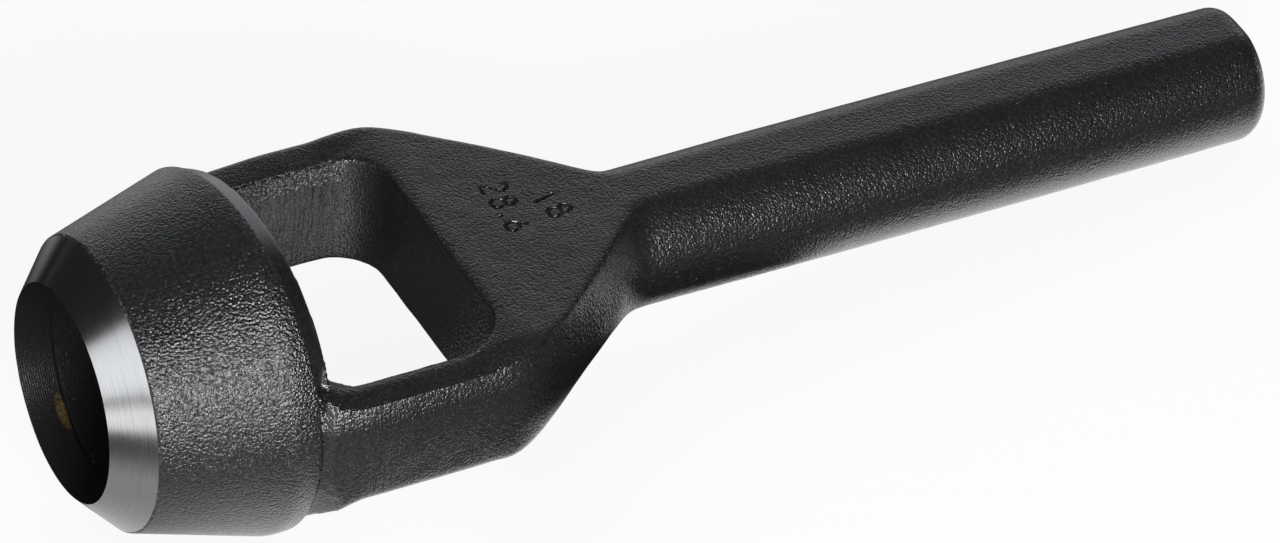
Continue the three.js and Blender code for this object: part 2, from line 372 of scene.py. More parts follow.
class Board:
    """The nodes of one material or world, laid down one by one."""

    def __init__(self, owner: Union[bpy.types.Material, bpy.types.World]) -> None:
        """Clears the owner's nodes and starts anew.

        Args:
            owner: The material or world.
        """
        owner.use_nodes = True
        self.tree = owner.node_tree
        self.tree.nodes.clear()

    def node(
        self,
        kind: str,
        settings: Optional[Mapping[str, object]] = None,
        inputs: Optional[Mapping[Union[str, int], object]] = None,
    ) -> bpy.types.Node:
        """Adds a node.

        Args:
            kind: The node's type.
            settings: Its settings, set first; "stops" gives a ramp's (place, grey) pairs.
            inputs: Values or links for its sockets, by name or index.

        Returns:
            The node.
        """
        made = self.tree.nodes.new(kind)
        for name, value in (settings or {}).items():
            if name == "stops":
                self.set_stops(made.color_ramp, value)
            else:
                setattr(made, name, value)
        for name, value in (inputs or {}).items():
            self.feed(made.inputs[name], value)
        return made

    def set_stops(self, ramp: bpy.types.ColorRamp, stops: Sequence[Point]) -> None:
        """Sets a ramp's stops.

        Args:
            ramp: The ramp.
            stops: Its (place, grey) pairs.
        """
        while len(ramp.elements) < len(stops):
            ramp.elements.new(1.0)
        for element, (place, grey) in zip(ramp.elements, stops):
            element.position = place
            element.color = (grey, grey, grey, 1.0)

    def feed(self, socket: bpy.types.NodeSocket, value: object) -> None:
        """Links a shade or an output to a socket, or sets the socket's own value.

        Args:
            socket: The socket.
            value: A shade, an output socket or a plain value.
        """
        if isinstance(value, Shade):
            self.tree.links.new(value.socket, socket)
        elif isinstance(value, bpy.types.NodeSocket):
            self.tree.links.new(value, socket)
        elif isinstance(value, tuple) and socket.type == "RGBA" and len(value) == 3:
            socket.default_value = (*value, 1.0)
        else:
            socket.default_value = value

    def shade(self, node: bpy.types.Node, output: Union[str, int] = 0) -> "Shade":
        """One output of a node, as a number to reckon with."""
        return Shade(self, node.outputs[output])

    def tint(self, share: Operand, low: object, high: object) -> bpy.types.NodeSocket:
        """Mixes two colours.

        Args:
            share: How far the mix has come from low to high.
            low: The colour at 0.
            high: The colour at 1.

        Returns:
            The mix's output.
        """
        settings = {"data_type": "RGBA", "clamp_factor": True}
        return self.node("ShaderNodeMix", settings, {0: share, 6: low, 7: high}).outputs[2]

    def tone(self, colour: object, strength: Operand) -> bpy.types.NodeSocket:
        """A colour times a number."""
        scale = self.node("ShaderNodeVectorMath", {"operation": "SCALE"}, {0: colour, "Scale": strength})
        return scale.outputs[0]

    def axes(self, vector: bpy.types.NodeSocket) -> tuple["Shade", ...]:
        """The three parts of a vector."""
        parts = self.node("ShaderNodeSeparateXYZ", inputs={0: vector})
        return tuple(self.shade(parts, axis) for axis in range(3))

    def rays(self) -> tuple["Shade", "Shade"]:
        """Tells rays apart.

        Returns:
            1 for the camera's own rays, straight or through glass; and 1 for reflections.
        """
        path = self.node("ShaderNodeLightPath")
        seen = self.shade(path, "Is Camera Ray").most(self.shade(path, "Is Transmission Ray"))
        return seen, self.shade(path, "Is Glossy Ray")


class Shade:
    """A number that may change over a surface; sums and products of it add Math nodes."""

    def __init__(self, board: Board, socket: bpy.types.NodeSocket) -> None:
        """Wraps an output socket of a board."""
        self.board = board
        self.socket = socket

    def reckon(self, operation: str, *operands: Operand) -> "Shade":
        """Adds a Math node on numbers, in their order."""
        node = self.board.node("ShaderNodeMath", {"operation": operation}, dict(enumerate(operands)))
        return self.board.shade(node)

    def __add__(self, other: Operand) -> "Shade":
        """self + other."""
        return self.reckon("ADD", self, other)

    __radd__ = __add__

    def __sub__(self, other: Operand) -> "Shade":
        """self - other."""
        return self.reckon("SUBTRACT", self, other)

    def __rsub__(self, other: Operand) -> "Shade":
        """other - self."""
        return self.reckon("SUBTRACT", other, self)

    def __mul__(self, other: Operand) -> "Shade":
        """self * other."""
        return self.reckon("MULTIPLY", self, other)

    __rmul__ = __mul__

    def __truediv__(self, other: Operand) -> "Shade":
        """self / other."""
        return self.reckon("DIVIDE", self, other)

    def __abs__(self) -> "Shade":
        """abs(self)."""
        return self.reckon("ABSOLUTE", self)

    def power(self, exponent: float) -> "Shade":
        """This number to a power."""
        return self.reckon("POWER", self, exponent)

    def most(self, other: Operand) -> "Shade":
        """The larger of this number and another."""
        return self.reckon("MAXIMUM", self, other)

    def sine(self) -> "Shade":
        """The sine of this number."""
        return self.reckon("SINE", self)

    def bearing(self, along: "Shade") -> "Shade":
        """The angle of the direction (along, self), in radians."""
        return self.reckon("ARCTAN2", self, along)

    def rise(self, start: float, end: float) -> "Shade":
        """Eases from 0 to 1.

        Args:
            start: Where this number gives 0.
            end: Where it gives 1; it may be the smaller of the two.

        Returns:
            The smooth step.
        """
        node = self.board.node(
            "ShaderNodeMapRange",
            {"interpolation_type": "SMOOTHSTEP"},
            {"Value": self, "From Min": start, "From Max": end},
        )
        return self.board.shade(node)

    def within(self, low: float, high: float, edge: float) -> "Shade":
        """1 where this number lies between low and high, fading to 0 over edge outside them."""
        return self.rise(low - edge, low) * (1 - self.rise(high, high + edge))


class Places:
    """Where a point of the surface is, in millimetres, and the patterns that are laid out on it."""

    def __init__(self, board: Board, lie: Matrix) -> None:
        """Turns the object's coordinates back onto the punch's own axes.

        Args:
            board: The material's board.
            lie: How the punch lies in the row frame.
        """
        self.board = board
        coordinates = board.node("ShaderNodeTexCoord")
        back = lie.inverted()
        turned = board.node(
            "ShaderNodeMapping",
            inputs={
                "Vector": coordinates.outputs["Object"],
                "Location": back.translation / METRES_PER_MM,
                "Rotation": back.to_euler(),
                "Scale": (1 / METRES_PER_MM,) * 3,
            },
        )
        self.vector = turned.outputs[0]
        self.x, self.y, self.z = board.axes(self.vector)

    def noise(self, grain: Grain, vector: Optional[bpy.types.NodeSocket] = None) -> Shade:
        """Lays a cloudy pattern.

        Args:
            grain: The pattern.
            vector: The place that it is laid out by, where that isn't the point's own.

        Returns:
            Noise about 0.5.
        """
        if vector is None:
            vector = self.vector
        if grain.fineness != (1.0, 1.0, 1.0):
            factors = {0: vector, 1: grain.fineness}
            vector = self.board.node("ShaderNodeVectorMath", {"operation": "MULTIPLY"}, factors).outputs[0]
        inputs = {
            "Vector": vector,
            "Scale": 1 / grain.size,
            "Detail": grain.detail,
            "Roughness": grain.roughness,
        }
        return self.board.shade(self.board.node("ShaderNodeTexNoise", inputs=inputs))

    def cells(self, size: float) -> Shade:
        """The distance to the middle of the nearest of many small cells, as a share of their size."""
        node = self.board.node("ShaderNodeTexVoronoi", inputs={"Vector": self.vector, "Scale": 1 / size})
        return self.board.shade(node, "Distance")

    def radius(self) -> Shade:
        """The distance from the punch's axis."""
        return (self.y * self.y + self.z * self.z).power(0.5)

    def spot(self, spot: Spot) -> Shade:
        """Shades an oval spot.

        Args:
            spot: Its middle and its reach.

        Returns:
            1 in its middle, falling to 0 at its edge.
        """
        axes = zip((self.x, self.y, self.z), spot.centre, spot.reach)
        parts = [(axis - middle) / half for axis, middle, half in axes]
        return 1 - sum(part * part for part in parts).rise(spot.core, 1.0)

    def flecks(self, flecks: Flecks) -> Shade:
        """Shades small flecks, gathered in patches."""
        held = self.noise(flecks.patch).rise(*flecks.patch_rise)
        return self.cells(flecks.spacing).rise(*flecks.reach) * held * flecks.share


@dataclass(frozen=True)
class Surface:
    """What a finish says about every point: its colour, gloss and relief."""

    colour: object
    roughness: object
    relief: Shade
    metallic: object = 0.0
    specular: float = 0.5


class Finish:
    """A finish of the punch; each kind says its own surface."""

    name: str

    def surface(self, board: Board, places: Places) -> Surface:
        """The surface of this finish."""
        raise NotImplementedError

    def material(self, lie: Matrix) -> bpy.types.Material:
        """Lays the finish down as a material.

        Args:
            lie: How the punch lies in the row frame.

        Returns:
            The material, with its relief in a Bump node whose heights are in millimetres.
        """
        made = bpy.data.materials.new(self.name)
        board = Board(made)
        surface = self.surface(board, Places(board, lie))
        bump = board.node("ShaderNodeBump", inputs={"Height": surface.relief, "Distance": METRES_PER_MM})
        shader = board.node(
            "ShaderNodeBsdfPrincipled",
            inputs={
                "Base Color": surface.colour,
                "Roughness": surface.roughness,
                "Metallic": surface.metallic,
                "Specular IOR Level": surface.specular,
                "Normal": bump.outputs["Normal"],
            },
        )
        board.node("ShaderNodeOutputMaterial", inputs={"Surface": shader.outputs[0]})
        return made


@dataclass(frozen=True)
class ForgedCoating(Finish):
    """The black coating on the forging, with its orange peel, trim lines, rubbed places and a painted sheen
    on the collar.

    Fields of two numbers are where a mask starts and ends, and fields of three are a stretch and
    the fade at both its ends.
    """

    name: str = "forged_coating"
    dark: Colour = (0.0042, 0.0044, 0.0050)
    light: Colour = (0.0090, 0.0093, 0.0104)
    crest: Colour = (0.015, 0.0156, 0.0168)
    # Painted sheen: the collar's far face is coloured lighter, as if lit, and its near side is left dark.
    collar_sheen: Colour = (0.03, 0.031, 0.033)
    collar_sheen_share: float = 0.9
    collar_sheen_sides: Point = (-10.0, -5.0)
    rubbed: Colour = (0.42, 0.41, 0.40)
    rubbed_share: float = 0.55
    rubbed_grit: Point = (0.50, 0.62)
    rubbed_gloss: float = 0.03
    sooty: Colour = (0.003, 0.0031, 0.0028)
    soot: Grain = Grain(0.9, 3.0, 0.7)
    soot_patches: Point = (0.36, 0.6)
    soot_share: float = 0.75
    soot_roughness: float = 0.20
    crust: Grain = Grain(0.7)
    crust_height: float = 0.22
    peel: Grain = Grain(0.48, 2.0, 0.55)
    peel_height: float = 0.095
    peel_crests: Point = (0.42, 0.66)
    sand: Grain = Grain(0.24, 2.0, 0.6)
    sand_height: float = 0.03
    powder_size: float = 0.37
    powder_height: float = 0.065
    grit: Grain = Grain(0.36, 3.0, 0.7)
    grit_height: float = 0.32
    cloud: Grain = Grain(9.0, 3.0, 0.6)
    cloud_share: float = 0.8
    cloud_roughness: float = 0.07
    plain_lightness: float = 0.1
    plain_roughness: float = 0.27
    flecks: Flecks = Flecks(1.5, (0.10, 0.02), Grain(3.0), 0.35)
    collar_depths: Triple = (22.0, 27.0, 0.4)
    collar_sides: Point = (19.0, 22.0)
    collar_face: Point = (21.8, 22.6)
    collar_edge: Point = (19.3, 20.3)
    collar_smoothness: float = 0.85
    window_half_width: float = 20.4
    band_wall: Triple = (-0.6, 0.45, 0.3)
    band_heights: Triple = (4.4, 7.2, 0.45)
    band_depths: Triple = (30.0, 50.5, 2.5)
    band_edge: Grain = Grain(2.4)
    band_waver: float = 1.1
    leg_half_spread: float = 25.5
    lines: Grain = Grain(0.44, 3.0, 0.65, (1.0, 0.25, 0.05))
    line_height: float = 0.30
    line_lightness: float = 3.0
    line_contrast: float = 4.0
    inner_lines: Triple = (-0.6, 0.3, 0.3)
    inner_depths: Triple = (26.0, 47.0, 4.0)
    outer_lines: Triple = (-1.6, 0.6, 0.3)
    outer_depths: Triple = (24.0, 34.0, 8.0)
    outer_share: float = 0.6

    def trim_band(self, places: Places) -> Shade:
        """Marks the rough band that trimming left under the window's upper edge.

        Args:
            places: Where the points are.

        Returns:
            1 on the band.
        """
        wall = (abs(places.y) - self.window_half_width).within(*self.band_wall)
        ragged = places.z + self.band_waver * (places.noise(self.band_edge) - 0.5)
        return wall * ragged.within(*self.band_heights) * places.x.within(*self.band_depths)

    def trim_lines(self, places: Places) -> Shade:
        """Draws the upright lines that the trimming die left on the walls.

        Args:
            places: Where the points are.

        Returns:
            The lines, about 0.
        """
        inner = (abs(places.y) - self.window_half_width).within(*self.inner_lines)
        outer = (abs(places.y) - self.leg_half_spread).within(*self.outer_lines)
        inner = inner * places.x.within(*self.inner_depths)
        outer = outer * places.x.within(*self.outer_depths)
        return (places.noise(self.lines) - 0.5) * (inner + self.outer_share * outer)

    def collar(self, places: Places) -> tuple[Shade, Shade]:
        """Marks the collar where it shows between the legs.

        Args:
            places: Where the points are.

        Returns:
            The collar's turned face, and that face with its rear edge.
        """
        ring = places.x.within(*self.collar_depths) * (1 - abs(places.y).rise(*self.collar_sides))
        radius = places.radius()
        return ring * radius.rise(*self.collar_face), ring * radius.rise(*self.collar_edge)

    def surface(self, board: Board, places: Places) -> Surface:
        """Lays out the coating.

        Args:
            board: The material's board.
            places: Where the points are.

        Returns:
            Peel and sand everywhere, and trim lines, rubs and soot where the work left them.
        """
        grains = (self.peel, self.sand, self.grit, self.cloud, self.crust)
        peel, sand, grit, cloud, crust = (places.noise(grain) for grain in grains)
        band, lines = self.trim_band(places), self.trim_lines(places)
        face, turned = self.collar(places)
        soot = places.spot(FAR_DENT).most(places.spot(NEAR_BLOT))
        soot = soot * places.noise(self.soot).rise(*self.soot_patches)
        specks = band * grit.rise(*self.rubbed_grit)
        pale = (cloud * self.cloud_share + lines * self.line_lightness + self.plain_lightness).most(0.0)
        crests = peel.rise(*self.peel_crests) * (0.5 + 0.5 * sand) * (1 + self.line_contrast * lines)
        colour = board.tint(crests, board.tint(pale, self.dark, self.light), self.crest)
        for share, laid_over in (
            # Painted sheen on the collar's far face, fading out towards its shaded near side.
            (face * places.y.rise(*self.collar_sheen_sides) * self.collar_sheen_share, self.collar_sheen),
            (specks * self.rubbed_share, self.rubbed),
            (places.flecks(self.flecks) * (1 - turned), self.rubbed),
            (soot * self.soot_share, self.sooty),
        ):
            colour = board.tint(share, colour, laid_over)
        relief = (
            (peel - 0.5) * self.peel_height
            + (sand - 0.5) * self.sand_height
            - places.cells(self.powder_size) * self.powder_height
            + lines * self.line_height
            + band * (grit - 0.5) * self.grit_height
            + soot * (crust - 0.5) * self.crust_height
        )
        roughness = (
            self.plain_roughness
            + self.cloud_roughness * cloud
            + self.soot_roughness * soot
            - self.rubbed_gloss * specks
        )
        return Surface(colour, roughness, relief * (1 - self.collar_smoothness * turned), specular=1.0)


@dataclass(frozen=True)
class HeadCoating(Finish):
    """The finer black coating on the head's cone."""

    name: str = "head_coating"
    dark: Colour = (0.0048, 0.0050, 0.0056)
    light: Colour = (0.0090, 0.0093, 0.0102)
    crest: Colour = (0.020, 0.0205, 0.022)
    bright: Colour = (0.30, 0.30, 0.31)
    grain: Grain = Grain(0.44, 3.0, 0.62)
    grain_height: float = 0.16
    grain_crests: Point = (0.42, 0.66)
    crest_share: float = 0.7
    powder_size: float = 0.38
    powder_height: float = 0.105
    cloud: Grain = Grain(11.0, 3.0, 0.6)
    cloud_roughness: float = 0.06
    plain_roughness: float = 0.20
    rings_per_mm: float = 14.0
    ring_drift: Grain = Grain(6.0)
    ring_waver: float = 2.0
    ring_height: float = 0.0004
    bevel_depth: float = 4.47
    rub: Grain = Grain(0.8)
    rub_patches: Point = (0.5, 0.75)
    rub_reach: Point = (0.1, 0.35)
    rub_share: float = 0.3
    flecks: Flecks = Flecks(1.3, (0.09, 0.02), Grain(2.6), 0.4)

    def surface(self, board: Board, places: Places) -> Surface:
        """Lays out the cone's coating.

        Args:
            board: The material's board.
            places: Where the points are.

        Returns:
            Fine grain, faint turning rings, and a thin rubbed line at the bevel.
        """
        grain, cloud = places.noise(self.grain), places.noise(self.cloud)
        drift = self.ring_waver * places.noise(self.ring_drift)
        rings = (places.x * self.rings_per_mm + drift).sine()
        rub = 1 - (places.x - self.bevel_depth).rise(*self.rub_reach)
        rub = rub * places.noise(self.rub).rise(*self.rub_patches)
        crests = grain.rise(*self.grain_crests) * self.crest_share
        base = board.tint(crests, board.tint(cloud, self.dark, self.light), self.crest)
        worn = (rub * self.rub_share + places.flecks(self.flecks)).most(0.0)
        relief = (
            (grain - 0.5) * self.grain_height
            - places.cells(self.powder_size) * self.powder_height
            + rings * self.ring_height
        )
        roughness = self.plain_roughness + self.cloud_roughness * cloud
        return Surface(board.tint(worn, base, self.bright), roughness, relief, specular=1.0)


@dataclass(frozen=True)
class GroundSteel(Finish):
    """The uncoated steel of the bevel, with the fine rings of grinding."""

    name: str = "ground_bevel"
    pale: Colour = (0.68, 0.675, 0.66)
    deep: Colour = (0.52, 0.515, 0.505)
    ring_size: float = 0.17
    ring_layers: Grain = Grain(1.0)
    ring_drift: Grain = Grain(6.0, 1.0)
    ring_waver: float = 2.0
    ring_lights: Point = (0.3, 0.7)
    ring_share: float = 0.5
    ring_height: float = 0.0016
    ring_roughness: float = 0.06
    patches: Grain = Grain(2.2, 3.0, 0.6)
    patch_share: float = 0.4
    patch_roughness: float = 0.04
    plain_roughness: float = 0.15

    def surface(self, board: Board, places: Places) -> Surface:
        """Lays out the ground steel.

        Args:
            board: The material's board.
            places: Where the points are.

        Returns:
            Fine rings about the axis, broken up a little along their length.
        """
        depth = (places.radius() + places.x) / self.ring_size
        drift = places.noise(self.ring_drift) * self.ring_waver
        along = board.node("ShaderNodeCombineXYZ", inputs={0: depth, 1: drift}).outputs[0]
        rings = places.noise(self.ring_layers, along)
        patches = places.noise(self.patches)
        share = rings.rise(*self.ring_lights) * self.ring_share + patches * self.patch_share
        roughness = self.plain_roughness + self.ring_roughness * rings + self.patch_roughness * patches
        relief = (rings - 0.5) * self.ring_height
        return Surface(board.tint(share, self.deep, self.pale), roughness, relief, metallic=1.0)


@dataclass(frozen=True)
class TurnedBore(Finish):
    """The dark turned bore, with the golden traces of the braze where the head meets its seat."""

    name: str = "turned_bore"
    dark: Colour = (0.005, 0.005, 0.0052)
    light: Colour = (0.015, 0.015, 0.0155)
    braze: Colour = (0.30, 0.19, 0.055)
    braze_share: float = 0.55
    braze_metal: float = 0.6
    land_depth: float = 5.2
    joint_reach: Triple = (-0.9, 1.6, 0.5)
    joint: Grain = Grain(1.3, 4.0, 0.7)
    joint_patches: Point = (0.60, 0.70)
    joint_share: float = 0.5
    smear: Grain = Grain(0.7, 4.0, 0.7)
    smear_patches: Point = (0.38, 0.58)
    ring_pitch: float = 0.32
    ring_drift: Grain = Grain(5.0)
    ring_waver: float = 1.5
    ring_share: float = 0.15
    ring_height: float = 0.006
    fine: Grain = Grain(0.3, 3.0, 0.6)
    fine_share: float = 0.7
    fine_height: float = 0.07
    fine_roughness: float = 0.2
    plain_lightness: float = 0.15
    plain_roughness: float = 0.34
    specular: float = 0.3

    def surface(self, board: Board, places: Places) -> Surface:
        """Lays out the bore.

        Args:
            board: The material's board.
            places: Where the points are.

        Returns:
            Turning rings, a dull coating, and braze flecks near the joint.
        """
        turns = places.x * (2 * math.pi / self.ring_pitch)
        rings = (turns + self.ring_waver * places.noise(self.ring_drift)).sine()
        fine = places.noise(self.fine)
        shine = fine * self.fine_share + rings * self.ring_share + self.plain_lightness
        smear = places.spot(BRAZE_SMEAR) * places.noise(self.smear).rise(*self.smear_patches)
        near_joint = (places.x - self.land_depth).within(*self.joint_reach)
        flecks = near_joint * places.noise(self.joint).rise(*self.joint_patches) * self.joint_share
        traces = smear.most(flecks)
        colour = board.tint(traces * self.braze_share, board.tint(shine, self.dark, self.light), self.braze)
        relief = rings * self.ring_height + (fine - 0.5) * self.fine_height
        roughness = self.plain_roughness + self.fine_roughness * (fine - 0.5)
        return Surface(colour, roughness, relief, traces * self.braze_metal, self.specular)


# ---------------------------------------------------------------- the forged frame


@dataclass
class StampedNumber:
    """A plain number sunk into the upper flat, read from the far side to the near one."""

    text: str
    foot: Point
    lean_deg: float
    height: float = 3.5
    advance: float = 0.90
    point_advance: float = 0.50
    stroke: float = 0.33
    lift: float = -0.04
    skin_grain: float = 0.07
    skin_passes: int = 2

    def strokes(self, digit: str) -> list[list[Point]]:
        """A digit's strokes in shares of its height, from its lower left corner.

        Args:
            digit: One of the digits that the punch carries, or a point.

        Returns:
            The strokes as lists of points.
        """
        upper, lower = (0.3, 0.76), (0.3, 0.27)
        if digit == "8":
            return [arc(upper, 0.22, 0, 360, 14), arc(lower, 0.26, 0, 360, 16)]
        if digit == "6":
            return [arc(lower, 0.26, 0, 360, 16), arc((0.62, 0.3), 0.58, 182, 112, 8)]
        if digit == "2":
            return [arc(upper, 0.24, 165, -35, 10) + [(0.03, 0.0), (0.6, 0.0)]]
        if digit == "1":
            return [[(0.1, 0.78), (0.34, 1.0), (0.34, 0.0)]]
        return [[(0.05, 0.0), (0.05, 0.1), (0.13, 0.1), (0.13, 0.0)]]

    def cutter(self, shop: Workshop, flat_height: float) -> bpy.types.Object:
        """Makes the body that sinks the number into the flat.

        Args:
            shop: The workshop.
            flat_height: How high the flat lies above the punch's middle.

        Returns:
            One closed body along all strokes.
        """
        curve = bpy.data.curves.new("stamp_strokes", "CURVE")
        curve.dimensions = "3D"
        curve.bevel_depth = self.stroke * METRES_PER_MM
        curve.bevel_resolution = 3
        curve.use_fill_caps = True
        lean = math.radians(self.lean_deg)
        start = 0.0
        for digit in self.text:
            for stroke in self.strokes(digit):
                line = curve.splines.new("POLY")
                line.points.add(len(stroke) - 1)
                for knot, (right, up) in zip(line.points, stroke):
                    along = (start + right) * self.height
                    above = up * self.height
                    x = self.foot[0] + above * math.cos(lean) + along * math.sin(lean)
                    y = self.foot[1] - along * math.cos(lean) + above * math.sin(lean)
                    place = (x, y, flat_height + self.lift)
                    knot.co = (*(value * METRES_PER_MM for value in place), 1.0)
            start += self.point_advance if digit == "." else self.advance
        drawn = bpy.data.objects.new("stamp_strokes", curve)
        bpy.context.scene.collection.objects.link(drawn)
        graph = bpy.context.evaluated_depsgraph_get()
        body = bpy.data.objects.new("stamp", bpy.data.meshes.new_from_object(drawn.evaluated_get(graph)))
        bpy.context.scene.collection.objects.link(body)
        bpy.data.objects.remove(drawn)
        shop.forge(body, self.skin_grain, self.skin_passes)
        return body


@dataclass(frozen=True)
class HandMarks:
    """What forging and trimming by hand left on the skin, as moves along the skin's own direction.

    Fields of two numbers are where a mark starts and is full, and fields of four are a stretch with
    both its ends. A fineness is in waves per millimetre.
    """

    swells: tuple[Point, ...] = ((0.09, 0.10), (0.35, 0.05))
    forged_depths: Point = (27.4, 31.2)
    grip_depths: Point = (78.2, 88.2)
    grip_calm: float = 0.6
    upright: float = 0.5
    slant: float = 0.25
    window_half_width: float = 20.4
    window_depths: Stretch = (27.0, 32.0, 43.0, 50.0)
    band_walls: Point = (-0.7, 0.5)
    band_drops: Point = (3.4, 2.6)
    band_fineness: float = 1.6
    band_rough: float = 0.10
    band_depth: float = 0.08
    near_band_share: float = 0.35
    lip_width: float = 2.4
    lip_fall: float = 0.35
    far_depths: Stretch = (28.0, 40.0, 47.0, 54.0)
    far_sides: Point = (21.0, 25.0)
    far_heights: Point = (1.0, 6.0)
    far_swell: float = 0.4
    near_depths: Stretch = (21.0, 25.0, 53.0, 61.0)
    root_depths: Point = (23.0, 31.0)
    root_fall: float = 2.4
    near_fall: float = 1.76
    fall_sides: Point = (20.8, 26.6)
    near_round: float = 1.44
    round_sides: Point = (18.5, 21.5)
    round_heights: Point = (3.2, 9.4)
    dent_radius: float = 3.2
    dent_fineness: float = 1.1
    dent_rough: float = 0.22
    dent_depth: float = 0.10
    blot_and_shadow_radius: float = 2.8
    blot_fineness: float = 1.3
    blot_rough: float = 0.16
    blot_height: float = 0.10

    def swell(self, place: Vector) -> float:
        """Moves the faces by the slow swell of forging.

        Args:
            place: A point of the skin.

        Returns:
            The move, which is nothing at the turned collar and least on the grip.
        """
        waves = sum(height * noise.noise(place * fineness) for fineness, height in self.swells)
        calm = 1 - self.grip_calm * ease(place.x, *self.grip_depths)
        return ease(place.x, *self.forged_depths) * waves * calm

    def window_edge(self, place: Vector, normal: Vector, top: float) -> float:
        """Roughens the band under the window's upper edge, and lets the lip above it fall in.

        Args:
            place: A point of the skin.
            normal: The skin's direction there.
            top: The height of the upper flats at that depth.

        Returns:
            The move.
        """
        wall = abs(place.y) - self.window_half_width
        along = along_stretch(place.x, self.window_depths)
        low, high = self.band_walls
        move = 0.0
        if low < wall < high and abs(normal.y) > self.upright and place.z > 0:
            band = ease(place.z, *(top - drop for drop in self.band_drops)) * along
            rough = self.band_rough * noise.noise(place * self.band_fineness) - self.band_depth
            move += band * rough * (1.0 if place.y > 0 else self.near_band_share)
        if 0 <= wall < self.lip_width and normal.z > self.upright:
            move -= self.lip_fall * along * (1 - wall / self.lip_width) ** 2
        return move

    def far_leg(self, place: Vector) -> float:
        """The swell of the far leg's outer wall, towards its top."""
        along = along_stretch(place.x, self.far_depths) * ease(place.y, *self.far_sides)
        return self.far_swell * along * ease(place.z, *self.far_heights)

    def near_leg(self, place: Vector, normal: Vector) -> float:
        """Lowers and rounds the near leg's upper outer edge, most of all at its root.

        Args:
            place: A point of the skin.
            normal: The skin's direction there.

        Returns:
            The move.
        """
        along = along_stretch(place.x, self.near_depths)
        move = 0.0
        if place.z > 0 and normal.z > self.slant:
            fall = self.near_fall + self.root_fall * (1 - ease(place.x, *self.root_depths))
            move -= fall * along * normal.z * ease(-place.y, *self.fall_sides)
        if place.z > 0 and normal.y < -self.slant:
            outer = ease(-place.y, *self.round_sides)
            move += self.near_round * along * outer * normal.y * ease(place.z, *self.round_heights)
        return move

    def spots(self, place: Vector, normal: Vector) -> float:
        """Dents the far leg's top, and raises the sooty patch under the near leg.

        Args:
            place: A point of the skin.
            normal: The skin's direction there.

        Returns:
            The move.
        """
        away = (place - Vector(NEAR_BLOT.centre)).length
        rough = self.blot_height + self.blot_rough * noise.noise(place * self.blot_fineness)
        move = (1 - share_between(away, 0.0, self.blot_and_shadow_radius) ** 2) * rough
        if normal.z > self.upright and place.z > 0:
            away = (place - Vector(FAR_DENT.centre)).xy.length
            rough = self.dent_rough * noise.noise(place * self.dent_fineness) - self.dent_depth
            move += (1 - share_between(away, 0.0, self.dent_radius) ** 2) * rough
        return move

    def move(self, place: Vector, normal: Vector, top: float) -> float:
        """Sums up the marks.

        Args:
            place: A point of the skin.
            normal: The skin's direction there.
            top: The height of the upper flats at that depth.

        Returns:
            How far the skin stands out, or in where it is below 0.
        """
        legs = self.far_leg(place) + self.near_leg(place, normal)
        return self.swell(place) + self.window_edge(place, normal, top) + legs + self.spots(place, normal)


